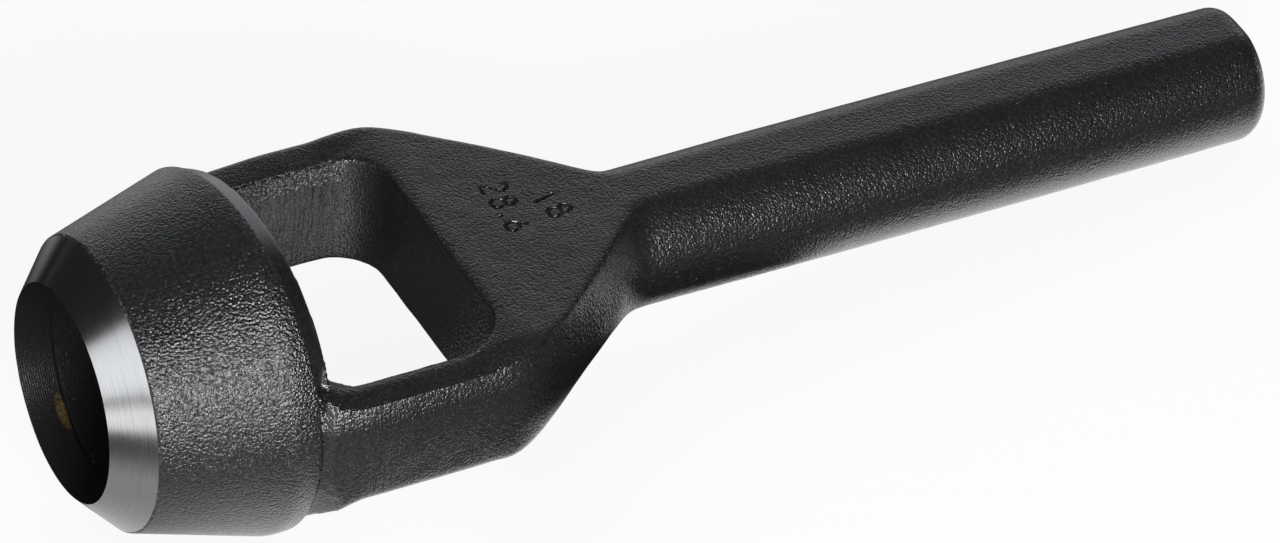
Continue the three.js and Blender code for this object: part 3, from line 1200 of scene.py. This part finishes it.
@dataclass
class ForgedFrame:
    """The forging: collar and spigot, two legs round the window, yoke and grip."""

    name: str = "punch_frame"
    node: str = "forged_frame"
    slot: str = "forged_black"
    seat_depth: float = 22.2
    seat_skew_deg: float = 5.4
    seat_gap: float = 0.06
    land_depth: float = 5.2
    collar_radius: float = 23.95
    collar_thickness: float = 2.6
    collar_taper: float = 1.1
    turning_allowance: float = 1.0
    relief_radius: float = 14.6
    relief_taper: float = 1.0
    groove: float = 0.4
    spigot_radius: float = 17.0
    spigot_chamfer: float = 0.6
    leg_half_spread: float = 25.5
    leg_width: float = 5.1
    leg_top_height: float = 7.4
    wall_crown: float = 0.25
    root_length: float = 9.0
    root_upper_flare: float = 3.0
    root_lower_flare: float = 6.2
    root_draw: float = 1.1
    root_runout: float = 6.0
    window_end: float = 52.2
    window_root_round: float = 5.0
    window_corner_round: float = 6.4
    yoke_half_thickness: float = 8.6
    yoke_start: float = 45.0
    shoulder_depth: float = 54.3
    shoulder_round: float = 3.2
    flat_corner_round: float = 2.0
    flank_crown: float = 0.6
    flank_draft: float = 1.7
    neck_flat_depth: float = 78.2
    neck_side_depth: float = 76.7
    neck_round: float = 1.8
    overall_length: float = 172.1
    grip_flat_half_width: float = 3.2
    grip_neck_radius: float = 8.95
    grip_end_radius: float = 9.1
    grip_bulge: float = 0.35
    end_round: float = 2.6
    upper_edge_round: float = 0.9
    lower_edge_round: float = 2.2
    edge_chords: int = 6
    wall_chords: int = 10
    corner_chords: int = 12
    end_chords: int = 8
    close_step: float = 0.7
    wide_step: float = 3.0
    wide_start: float = 90.0
    bore_margin: Point = (1.0, 0.5)
    skin_grain: float = 0.36
    skin_passes: int = 5
    crease_deg: float = 38.0
    marks: HandMarks = HandMarks()
    numbers: tuple[StampedNumber, ...] = (
        StampedNumber("28.6", (61.6, 7.6), -4.0),
        StampedNumber("18", (66.4, 2.9), 12.0),
    )
    finish: ForgedCoating = ForgedCoating()
    bore_finish: TurnedBore = TurnedBore()

    def grip_radius(self, depth: float) -> float:
        """Measures half the grip's width.

        Args:
            depth: The section's depth.

        Returns:
            An even taper, barrelled a little.
        """
        share = share_between(depth, self.neck_side_depth, self.overall_length)
        taper = lerp(self.grip_neck_radius, self.grip_end_radius, share)
        return taper + self.grip_bulge * math.sin(math.pi * share)

    def half_width(self, depth: float) -> float:
        """Measures half the frame's width at its middle height.

        Args:
            depth: The section's depth.

        Returns:
            The half width of the legs, the flanks or the grip, rounded where they meet.
        """
        rooted = ease(depth, self.seat_depth, self.seat_depth + self.root_length)
        leg = self.leg_half_spread - self.root_draw * (1 - rooted)
        shoulder = (self.shoulder_depth, self.leg_half_spread)
        flank = along_line(shoulder, (self.neck_side_depth, self.grip_neck_radius), depth)
        return soft_max(soft_min(leg, flank, self.shoulder_round), self.grip_radius(depth), self.neck_round)

    def flat_within(self, depth: float, flank: float) -> float:
        """Measures half the width of a flat.

        Args:
            depth: The section's depth.
            flank: The half width that the flank leaves for it.

        Returns:
            The half width between the wall and the flank, no less than on the grip.
        """
        wall = self.half_width(depth) - self.wall_crown
        flat = soft_max(flank, self.grip_flat_half_width, self.neck_round)
        return soft_min(wall, flat, self.flat_corner_round)

    def upper_flat(self, depth: float) -> float:
        """Measures half the width of the upper flat.

        Args:
            depth: The section's depth.

        Returns:
            The half width, whose flanks are crowned.
        """
        share = share_between(depth, self.shoulder_depth, self.neck_flat_depth)
        crown = self.flank_crown * math.sin(math.pi * share)
        shoulder = (self.shoulder_depth, self.leg_half_spread)
        neck = (self.neck_flat_depth, self.grip_flat_half_width)
        return self.flat_within(depth, along_line(shoulder, neck, depth) + crown)

    def lower_flat(self, depth: float) -> float:
        """Measures half the width of the lower flat.

        Args:
            depth: The section's depth.

        Returns:
            The half width, drawn in by the draft at the shoulder.
        """
        shoulder = (self.shoulder_depth - self.flank_draft, self.leg_half_spread)
        neck = (self.neck_flat_depth, self.grip_flat_half_width)
        return self.flat_within(depth, along_line(shoulder, neck, depth))

    def flare_left(self, depth: float) -> float:
        """The share of the root's flare that is left at a depth."""
        return (1 - share_between(depth, self.seat_depth, self.seat_depth + self.root_length)) ** 2

    def top_height(self, depth: float) -> float:
        """Measures the height of the upper flats.

        Args:
            depth: The section's depth.

        Returns:
            The height above the middle; the legs' tops lie lower than the yoke's.
        """
        grown = ease(depth, self.yoke_start, self.shoulder_depth)
        leg_top = self.leg_top_height + self.root_upper_flare * self.flare_left(depth)
        return lerp(leg_top, self.yoke_half_thickness, grown)

    def underside_drop(self, depth: float) -> float:
        """The depth of the underside below the middle."""
        return self.yoke_half_thickness + self.root_lower_flare * self.flare_left(depth)

    def lower_round(self, depth: float) -> float:
        """The round of the lower edges, running out to the grip's soft crease."""
        grown = ease(depth, self.shoulder_depth, self.neck_flat_depth)
        return lerp(self.lower_edge_round, self.upper_edge_round, grown)

    def quarter(self, width: float, flat: float, height: float, edge_round: float) -> list[Point]:
        """One quarter of a section, from the flat over its edge and down the bowed wall.

        Args:
            width: Half the width at middle height.
            flat: Half the flat's width.
            height: The flat's height.
            edge_round: How far the edge's round reaches along flat and wall.

        Returns:
            (y, z) points.
        """
        centre = (width**2 - flat**2 - height**2) / (2 * (width - flat))
        radius = width - centre
        crease = math.atan2(height, flat - centre)
        edge = min(edge_round, flat / 2)
        edge_end = crease - edge / radius
        start, bend = np.array((flat - edge, height)), np.array((flat, height))
        end = np.array((centre + radius * math.cos(edge_end), radius * math.sin(edge_end)))
        rounded = []
        for share in np.linspace(0, 1, self.edge_chords + 1):
            rounded.append(tuple((1 - share) ** 2 * start + 2 * share * (1 - share) * bend + share**2 * end))
        return rounded + arc((centre, 0.0), radius, math.degrees(edge_end), 0.0, self.wall_chords)[1:]

    def section(self, depth: float, inset: float) -> list[Triple]:
        """Draws the whole section at a depth.

        Args:
            depth: The section's depth.
            inset: How far it is drawn in, for the rounded end.

        Returns:
            A closed ring of points.
        """
        width = self.half_width(depth) - inset
        least = self.grip_flat_half_width / 2
        upper_flat = max(self.upper_flat(depth) - inset, least)
        lower_flat = max(self.lower_flat(depth) - inset, least)
        upper = self.quarter(width, upper_flat, self.top_height(depth) - inset, self.upper_edge_round)[:-1]
        lower = self.quarter(width, lower_flat, self.underside_drop(depth) - inset, self.lower_round(depth))
        ring = [(y, -z) for y, z in lower] + upper[::-1]
        ring += [(-y, z) for y, z in upper] + [(-y, -z) for y, z in lower[::-1]]
        return [(depth, y, z) for y, z in ring]

    def blank(self, shop: Workshop) -> bpy.types.Object:
        """Makes the slab of legs and yoke and the grip, in one loft.

        Args:
            shop: The workshop.

        Returns:
            The solid blank.
        """
        end_start = self.overall_length - self.end_round
        front = self.seat_depth - self.root_length
        close = np.arange(front, self.wide_start, self.close_step)
        wide = np.arange(self.wide_start, end_start, self.wide_step)
        rings = [self.section(depth, 0.0) for depth in np.concatenate((close, wide))]
        for turn in np.linspace(0, math.pi / 2, self.end_chords + 1):
            inset = self.end_round * (1 - math.cos(turn))
            rings.append(self.section(end_start + self.end_round * math.sin(turn), inset))
        return shop.loft(self.name, rings)

    def window_outline(self) -> list[Point]:
        """Draws the window's outline, square to the axis at the yoke and along the seat in front.

        Returns:
            (x, y) points round its four rounded corners.
        """
        skew = math.radians(self.seat_skew_deg)
        half = self.leg_half_spread - self.leg_width
        front = self.seat_depth + self.collar_thickness / math.cos(skew)
        lean = math.tan(skew)
        corners = [
            (front + lean * half, -half, self.window_root_round),
            (self.window_end, -half, self.window_corner_round),
            (self.window_end, half, self.window_corner_round),
            (front - lean * half, half, self.window_root_round),
        ]
        points = []
        for index, (x, y, size) in enumerate(corners):
            here = Vector((x, y))
            before = (Vector(corners[index - 1][:2]) - here).normalized()
            after = (Vector(corners[(index + 1) % len(corners)][:2]) - here).normalized()
            bend = before.angle(after) / 2
            centre = here + (before + after).normalized() * size / math.sin(bend)
            spoke = here + before * size / math.tan(bend) - centre
            for step in range(self.corner_chords + 1):
                turned = spoke.copy()
                turned.rotate(Matrix.Rotation((math.pi - 2 * bend) * step / self.corner_chords, 2))
                points.append(tuple(centre + turned))
        return points

    def cut_window(self, shop: Workshop, body: bpy.types.Object) -> None:
        """Cuts the window through the forging.

        Args:
            shop: The workshop.
            body: The forging.
        """
        reach = 2 * self.yoke_half_thickness
        outline = self.window_outline()
        rings = [[(x, y, z) for x, y in outline] for z in (-reach, reach)]
        shop.act(body, Join.CUT, shop.loft("window", rings))

    def add_collar(self, shop: Workshop, body: bpy.types.Object) -> None:
        """Joins the collar, which stands proud of its seat until the seat is turned.

        Args:
            shop: The workshop.
            body: The forging.
        """
        slope = self.collar_taper / self.collar_thickness
        front = self.seat_gap - self.turning_allowance
        rear_radius = self.collar_radius - self.collar_taper
        profile = [(front, self.collar_radius - slope * front), (self.collar_thickness, rear_radius)]
        collar = shop.turned("collar", profile, math.radians(self.seat_skew_deg), self.seat_depth)
        shop.act(body, Join.ADD, collar)

    def turn_seat(self, shop: Workshop, body: bpy.types.Object) -> None:
        """Faces the seat, joins the spigot and bores the relief, all crisp as turned faces are.

        Args:
            shop: The workshop.
            body: The forging.
        """
        skew = math.radians(self.seat_skew_deg)
        reach = 2 * self.leg_half_spread
        facing = [(-self.seat_depth, reach), (self.seat_gap, reach)]
        shop.act(body, Join.CUT, shop.turned("facing", facing, skew, self.seat_depth))
        front = self.land_depth + self.seat_gap
        rear = self.seat_depth + self.collar_thickness / 2
        spigot = [
            (front, self.spigot_radius - self.spigot_chamfer),
            (front + self.spigot_chamfer, self.spigot_radius),
            (rear, self.spigot_radius),
        ]
        shop.act(body, Join.ADD, shop.turned("spigot", spigot))
        end = rear + self.root_length
        mouth = self.relief_radius + self.groove
        relief = [
            (self.land_depth - self.turning_allowance, mouth),
            (front, mouth),
            (front + self.groove, self.relief_radius),
            (end, self.relief_radius + self.relief_taper),
        ]
        shop.act(body, Join.CUT, shop.turned("relief", relief))

    def trim_roots(self, shop: Workshop, body: bpy.types.Object) -> None:
        """Draws the legs' roots in to the collar's edge, clear of the legs' corners behind it.

        Args:
            shop: The workshop.
            body: The forging.
        """
        corner = math.hypot(self.leg_half_spread, self.yoke_half_thickness + self.root_lower_flare)
        outer = corner + self.yoke_half_thickness
        start, end = (self.seat_gap, self.collar_radius), (self.root_runout, corner)
        front = self.seat_gap - self.turning_allowance
        profile = [
            (front, along_line(start, end, front)),
            end,
            (self.shoulder_depth, outer),
            (self.overall_length, outer),
        ]
        envelope = shop.turned("envelope", profile, math.radians(self.seat_skew_deg), self.seat_depth)
        shop.act(body, Join.KEEP, envelope)

    def sculpt(self, body: bpy.types.Object) -> None:
        """Moves the skin by the marks that forging and trimming left on it.

        Args:
            body: The forging.
        """
        corners = body.data.vertices
        places, normals = np.empty(3 * len(corners)), np.empty(3 * len(corners))
        corners.foreach_get("co", places)
        corners.foreach_get("normal", normals)
        places, normals = places.reshape(-1, 3), normals.reshape(-1, 3)
        moved = places.copy()
        for index, (corner, normal) in enumerate(zip(places, normals)):
            place = Vector(corner) / METRES_PER_MM
            mark = self.marks.move(place, Vector(normal), self.top_height(place.x))
            moved[index] += normal * mark * METRES_PER_MM
        corners.foreach_set("co", moved.ravel())
        body.data.update()

    def dress(self, shop: Workshop, body: bpy.types.Object) -> None:
        """Gives the bore its own finish and the rest the forging's.

        Args:
            shop: The workshop.
            body: The forging.
        """
        body.data.materials.clear()
        for finish in (self.finish, self.bore_finish):
            body.data.materials.append(finish.material(shop.matrix))
        behind, outside = self.bore_margin
        rear = self.seat_depth + self.collar_thickness + behind
        reach = self.relief_radius + self.relief_taper + outside
        for face in body.data.polygons:
            x, y, z = face.center / METRES_PER_MM
            face.material_index = int(x < rear and math.hypot(y, z) < reach)

    def build(self, shop: Workshop) -> bpy.types.Object:
        """Builds and dresses the forging in its node's place.

        Args:
            shop: The workshop.

        Returns:
            The finished piece.
        """
        body = self.blank(shop)
        self.trim_roots(shop, body)
        self.cut_window(shop, body)
        self.add_collar(shop, body)
        shop.forge(body, self.skin_grain, self.skin_passes)
        self.sculpt(body)
        self.turn_seat(shop, body)
        for number in self.numbers:
            shop.act(body, Join.CUT, number.cutter(shop, self.yoke_half_thickness))
        self.dress(shop, body)
        shop.lay_down(body, self.crease_deg)
        return body


# ---------------------------------------------------------------- the cutter head


class HeadFace(Enum):
    """The finish that a stretch of the head's section has."""

    COATED = 0
    GROUND = 1
    BORED = 2


@dataclass
class CutterHead:
    """The head: ground bevel, coated cone and rim outside, cutting land and socket inside."""

    name: str = "punch_head"
    node: str = "cutter_head"
    slot: str = "head_steel"
    cut_radius: float = 14.29
    edge_round: float = 0.04
    bevel_depth: float = 4.47
    bevel_radius: float = 19.1
    edge_break: float = 0.25
    cone_depth: float = 21.4
    rim_radius: float = 24.2
    rim_blend: float = 0.25
    rim_round: float = 0.3
    rim_turns_deg: Triple = (30.0, 60.0, 90.0)
    rim_steps: int = 4
    land_depth: float = 5.2
    land_break: float = 0.35
    socket_radius: float = 17.3
    seat_depth: float = 22.2
    seat_skew_deg: float = 5.4
    segments: int = 256
    bevel_rows: int = 6
    cone_rows: int = 44
    bore_rows: int = 8
    crease_deg: float = 25.0
    coating: HeadCoating = HeadCoating()
    bevel_finish: GroundSteel = GroundSteel()
    bore_finish: TurnedBore = TurnedBore()

    def outer_radius(self, depth: float) -> float:
        """Measures the outside of the head behind its bevel.

        Args:
            depth: The depth behind the cutting edge.

        Returns:
            The radius of the cone, and behind it of the rim's short land.
        """
        start = (self.bevel_depth + self.edge_break, self.bevel_radius + self.edge_break)
        cone = along_line(start, (self.cone_depth, self.rim_radius), depth)
        return soft_min(cone, self.rim_radius, self.rim_blend)

    def seat_at(self, radius: float, across: float) -> float:
        """The depth of the seat plane at a radius, on a spoke whose share of y is across."""
        return self.seat_depth - math.tan(math.radians(self.seat_skew_deg)) * radius * across

    def rim_at(self, across: float) -> float:
        """Finds where the outside meets the seat plane on a spoke, in a few steps.

        Args:
            across: The spoke's share of y.

        Returns:
            The depth of the rim's rear edge.
        """
        depth = self.seat_depth
        for _ in range(self.rim_steps):
            depth = self.seat_at(self.outer_radius(depth), across)
        return depth

    def spoke(self, across: float) -> list[tuple[HeadFace, Point]]:
        """Draws the head's whole section on one spoke, from the cutting edge over the rim to the bore.

        Args:
            across: The spoke's share of y.

        Returns:
            (depth, radius) points round the section, each with the finish of the stretch before it.
        """
        lip = self.cut_radius + self.edge_round
        bevel = [
            (self.bevel_depth * share, lerp(lip, self.bevel_radius, share))
            for share in np.linspace(0, 1, self.bevel_rows + 1)
        ]
        rim_depth = self.rim_at(across)
        rim = self.outer_radius(rim_depth)
        start, end = self.bevel_depth + self.edge_break, rim_depth - self.rim_round
        depths = [lerp(start, end, share) for share in np.linspace(0, 1, self.cone_rows)]
        outside = [(depth, self.outer_radius(depth)) for depth in depths]
        for angle in map(math.radians, self.rim_turns_deg):
            depth = rim_depth - self.rim_round * (1 - math.sin(angle))
            outside.append((depth, rim - self.rim_round * (1 - math.cos(angle))))
        outside.append((self.seat_at(self.socket_radius, across), self.socket_radius))
        land_end = self.land_depth - self.land_break
        inside = [(self.land_depth, self.socket_radius), (self.land_depth, self.cut_radius + self.land_break)]
        for share in np.linspace(0, 1, self.bore_rows + 1)[:-1]:
            inside.append((lerp(land_end, self.edge_round, share), self.cut_radius))
        return [
            (HeadFace.BORED, (self.edge_round, self.cut_radius)),
            *((HeadFace.GROUND, point) for point in bevel),
            *((HeadFace.COATED, point) for point in outside),
            *((HeadFace.BORED, point) for point in inside),
        ]

    def build(self, shop: Workshop) -> bpy.types.Object:
        """Builds and dresses the head in its node's place.

        Args:
            shop: The workshop.

        Returns:
            The finished piece.
        """
        rings, faces = [], []
        for step in range(self.segments):
            angle = 2 * math.pi * step / self.segments
            cosine, sine = math.cos(angle), math.sin(angle)
            section = self.spoke(cosine)
            faces = [face.value for face, _ in section]
            rings.append([(depth, radius * cosine, radius * sine) for _, (depth, radius) in section])
        head = shop.loft(self.name, rings, capped=False)
        for finish in (self.coating, self.bevel_finish, self.bore_finish):
            head.data.materials.append(finish.material(shop.matrix))
        for polygon in head.data.polygons:
            polygon.material_index = faces[(polygon.index + 1) % len(faces)]
        shop.lay_down(head, self.crease_deg)
        return head


# ---------------------------------------------------------------- studio and camera


@dataclass(frozen=True)
class Softbox:
    """A rectangular lamp that looks at the punch."""

    name: str
    azimuth_deg: float
    elevation_deg: float
    distance_m: float
    width_m: float
    height_m: float
    brightness: float
    mirrored: bool = True

    def place(self) -> None:
        """Hangs the lamp; its power gives its face the named brightness."""
        lamp = bpy.data.lights.new(self.name, "AREA")
        lamp.shape = "RECTANGLE"
        lamp.size, lamp.size_y = self.width_m, self.height_m
        lamp.energy = self.brightness * math.pi * self.width_m * self.height_m
        azimuth, elevation = math.radians(self.azimuth_deg), math.radians(self.elevation_deg)
        flat = math.cos(elevation)
        away = Vector((flat * math.cos(azimuth), flat * math.sin(azimuth), math.sin(elevation)))
        hung = bpy.data.objects.new(self.name, lamp)
        hung.location = away * self.distance_m
        hung.rotation_euler = away.to_track_quat("Z", "Y").to_euler()
        hung.visible_camera = False
        hung.visible_glossy = self.mirrored
        bpy.context.scene.collection.objects.link(hung)


@dataclass(frozen=True)
class MirroredTable:
    """The table's brightness in reflections, laid out in metres on the table about the punch.

    Fields of two numbers are where a mask starts and ends, along x, along y or outwards.
    """

    left: float = -0.30
    right: float = 0.10
    levels: tuple[Point, ...] = (
        (0.13, 1.3),
        (0.20, 0.01),
        (0.31, 0.02),
        (0.41, 0.11),
        (0.48, 0.36),
        (0.57, 0.26),
        (0.68, 0.09),
        (1.0, 0.07),
    )
    near_level: float = 1.6
    near_x: Point = (-0.10, -0.045)
    near_off: Point = (-0.009, -0.002)
    outline_y: float = -0.0255
    outline_step: float = 0.0165
    outline_x: Point = (-0.035, -0.008)
    grip_x: Point = (-0.008, 0.0)
    grip_y: Point = (-0.0055, -0.003)
    flank_start_x: Point = (-0.024, -0.012)
    flank_end_x: Point = (0.015, 0.022)
    shade_level: float = 0.04
    shade_y: Point = (0.001, 0.006)
    # The round spot is painted shadow in the table's glow, seen only in reflections.
    shadow_spot_centre: Point = (0.003, -0.018)
    blot_and_shadow_radius: Point = (0.018, 0.024)
    back_level: float = 0.7
    back_x: Point = (-0.12, -0.04)
    back_y: Point = (0.06, 0.14)
    back_slope: float = 0.55
    back_slant: Point = (-0.03, 0.03)

    def brightness(self, board: Board) -> Shade:
        """Lays out the brightness.

        Args:
            board: The table's board.

        Returns:
            Painted light and shade: bright at the left end, near outline and far behind, dark under the
                punch.
        """
        coordinates = board.node("ShaderNodeTexCoord")
        x, y, _ = board.axes(coordinates.outputs["Object"])
        place = (x - self.left) / (self.right - self.left)
        ramp = board.shade(board.node("ShaderNodeValToRGB", {"stops": self.levels}, {0: place}))
        off = y - (self.outline_y + self.outline_step * x.rise(*self.outline_x))
        open_side = 1 - y.rise(*self.grip_y) * x.rise(*self.grip_x)
        flank = x.rise(*self.flank_start_x) * (1 - x.rise(*self.flank_end_x)) * open_side
        near = off.rise(*self.near_off) * x.rise(*self.near_x) * (1 - flank)
        level = ramp + (self.near_level - ramp) * near
        # Painted shadow: a dark round spot in the table's glow, seen only in reflections, where the near
        # flank mirrors the table.
        along, across = x - self.shadow_spot_centre[0], y - self.shadow_spot_centre[1]
        shadow_spot = 1 - (along * along + across * across).power(0.5).rise(*self.blot_and_shadow_radius)
        shaded = y.rise(*self.shade_y).most(shadow_spot * open_side)
        behind = y.rise(*self.back_y) * x.rise(*self.back_x)
        behind = behind * (y - self.back_slope * x).rise(*self.back_slant)
        return level * (1 - (1 - self.shade_level) * shaded) + self.back_level * behind


@dataclass(frozen=True)
class MirroredRoom:
    """The room's brightness in reflections, by direction; fades and rises are shares of a radius."""

    dim: float = 0.015
    ceiling: float = 0.072
    ceiling_rise: Point = (0.55, 0.9)
    wall_level: float = 1.0
    wall_top_level: float = 0.03
    wall_azimuths_deg: Point = (30.0, 91.0)
    wall_top_deg: float = 52.0
    wall_fades: Point = (0.10, 0.22)
    card_level: float = 1.32
    card_azimuths_deg: Point = (-8.0, 40.0)
    card_top_deg: float = 29.0
    card_fades: Point = (0.05, 0.06)
    seam_deg: float = 5.5
    seam_level: float = 0.03
    seam_rise: Point = (0.032, 0.055)

    def panel(self, azimuth: Shade, height: Shade, sides_deg: Point, top: float, fades: Point) -> Shade:
        """Marks an upright panel.

        Args:
            azimuth: The azimuth of a direction, in radians.
            height: The sine of its elevation.
            sides_deg: The azimuths of the panel's two sides.
            top: The height of its top.
            fades: How far it fades out beyond its sides, and beyond its top.

        Returns:
            1 on the panel.
        """
        low, high = (math.radians(side) for side in sides_deg)
        return azimuth.within(low, high, fades[0]) * (1 - height.rise(top, top + fades[1]))

    def brightness(self, board: Board) -> Shade:
        """Lays out the brightness.

        Args:
            board: The world's board.

        Returns:
            A pale wall behind the punch, a white card with a seam on its left, and a dim room elsewhere.
        """
        coordinates = board.node("ShaderNodeTexCoord")
        x, y, height = board.axes(coordinates.outputs["Generated"])
        wall_top, card_top, seam_height = (
            math.sin(math.radians(angle)) for angle in (self.wall_top_deg, self.card_top_deg, self.seam_deg)
        )
        wall = self.panel(y.bearing(x), height, self.wall_azimuths_deg, wall_top, self.wall_fades)
        turned = (0 - y).bearing(0 - x)
        card = self.panel(turned, height, self.card_azimuths_deg, card_top, self.card_fades)
        wall_level = self.wall_level + (self.wall_top_level - self.wall_level) * height.rise(0.0, wall_top)
        seam = abs(height - seam_height).rise(*self.seam_rise)
        card_level = self.card_level * (self.seam_level + (1 - self.seam_level) * seam)
        rest = self.dim + (self.ceiling - self.dim) * height.rise(*self.ceiling_rise)
        return rest + wall * (wall_level - rest) + card * (card_level - rest)


@dataclass(frozen=True)
class Studio:
    """A white table in an even room; in reflections both have bright and dark places."""

    floor_reach_m: float = 8.0
    floor_gap_m: float = 0.0002
    floor_colour: Colour = (0.9, 0.9, 0.9)
    floor_glow: float = 0.88
    room_level: float = 0.35
    room_colour: Colour = (0.955, 0.985, 1.04)
    table: MirroredTable = MirroredTable()
    room: MirroredRoom = MirroredRoom()
    softboxes: tuple[Softbox, ...] = (
        Softbox("front_softbox", -106.0, 24.0, 0.9, 0.36, 0.24, 30.0),
        Softbox("top_softbox", 80.0, 62.0, 1.0, 0.8, 0.6, 1.6, False),
    )

    def table_finish(self) -> bpy.types.Material:
        """Makes the table's finish.

        Returns:
            White to the camera, which keeps the punch's shadow, and set by place in reflections.
        """
        made = bpy.data.materials.new("table_white")
        board = Board(made)
        seen, glossy = board.rays()
        colour = board.tone(WHITE, self.table.brightness(board) * glossy + seen)
        paper = board.node("ShaderNodeBsdfDiffuse", inputs={"Color": self.floor_colour})
        glow = board.node("ShaderNodeEmission", inputs={"Color": colour, "Strength": 1.0})
        share = seen * self.floor_glow + glossy
        mixed = board.node("ShaderNodeMixShader", inputs={0: share, 1: paper.outputs[0], 2: glow.outputs[0]})
        board.node("ShaderNodeOutputMaterial", inputs={"Surface": mixed.outputs[0]})
        return made

    def lay_table(self) -> bpy.types.Object:
        """Lays the table just under the punch.

        Returns:
            The table.
        """
        reach = self.floor_reach_m
        corners = [(reach * x, reach * y, 0.0) for x, y in ((-1, -1), (1, -1), (1, 1), (-1, 1))]
        mesh = bpy.data.meshes.new("table")
        mesh.from_pydata(corners, [], [(0, 1, 2, 3)])
        mesh.materials.append(self.table_finish())
        table = bpy.data.objects.new("table", mesh)
        table.location.z = CAD_BOX[0][2] - self.floor_gap_m
        bpy.context.scene.collection.objects.link(table)
        return table

    def light_room(self) -> None:
        """Lights the room: even on dull surfaces, white to the camera, mirrored by direction."""
        world = bpy.data.worlds.new("room")
        bpy.context.scene.world = world
        board = Board(world)
        seen, glossy = board.rays()
        lit = self.room_level + (self.room.brightness(board) - self.room_level) * glossy
        colour = board.tone(board.tint(glossy, WHITE, self.room_colour), lit + (1 - lit) * seen)
        back = board.node("ShaderNodeBackground", inputs={"Color": colour, "Strength": 1.0})
        board.node("ShaderNodeOutputWorld", inputs={"Surface": back.outputs[0]})

    def build(self) -> None:
        """Sets up the table, the room and the softboxes."""
        self.lay_table()
        self.light_room()
        for softbox in self.softboxes:
            softbox.place()
        bpy.context.scene.view_settings.view_transform = "Standard"


@dataclass(frozen=True)
class PhotoCamera:
    """The camera at the photograph's viewing angle, placed on the punch's own axes."""

    eye: Triple = (72.12, 15.18, 951.5)
    right: Triple = (0.8821, -0.4656, 0.0713)
    up: Triple = (0.2448, 0.5826, 0.7752)
    focal_px: float = 7636.0
    sensor_mm: float = 36.0
    clip_m: Point = (0.01, 50.0)

    def build(self, shop: Workshop) -> None:
        """Makes the scene's camera.

        Args:
            shop: The workshop, which knows where the punch lies.
        """
        right = Vector(self.right).normalized()
        back = right.cross(Vector(self.up)).normalized()
        up = back.cross(right)
        turn = Matrix((right, up, back)).transposed().to_4x4()
        eye = turn @ (Vector(self.eye) * METRES_PER_MM)
        lens = bpy.data.cameras.new("photo_camera")
        lens.sensor_width = self.sensor_mm
        lens.lens = self.focal_px * self.sensor_mm / PHOTO_WIDTH_PX
        lens.clip_start, lens.clip_end = self.clip_m
        camera = bpy.data.objects.new("photo_camera", lens)
        camera.matrix_world = shop.matrix @ Matrix.Translation(eye) @ turn
        bpy.context.scene.collection.objects.link(camera)
        bpy.context.scene.camera = camera


def main() -> None:
    """Builds the frame, the head, the studio and the camera, and logs each piece's face count."""
    forging = ForgedFrame()
    head = CutterHead()
    shop = Workshop(Placement(forging.overall_length))
    for part in (forging, head):
        piece = part.build(shop)
        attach(piece, "root")
        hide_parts(part.node)
        log.info("%s: %d faces", piece.name, len(piece.data.polygons))
    Studio().build()
    PhotoCamera().build(shop)


if __name__ == "__main__":
    logging.basicConfig(level=logging.INFO)
    main()
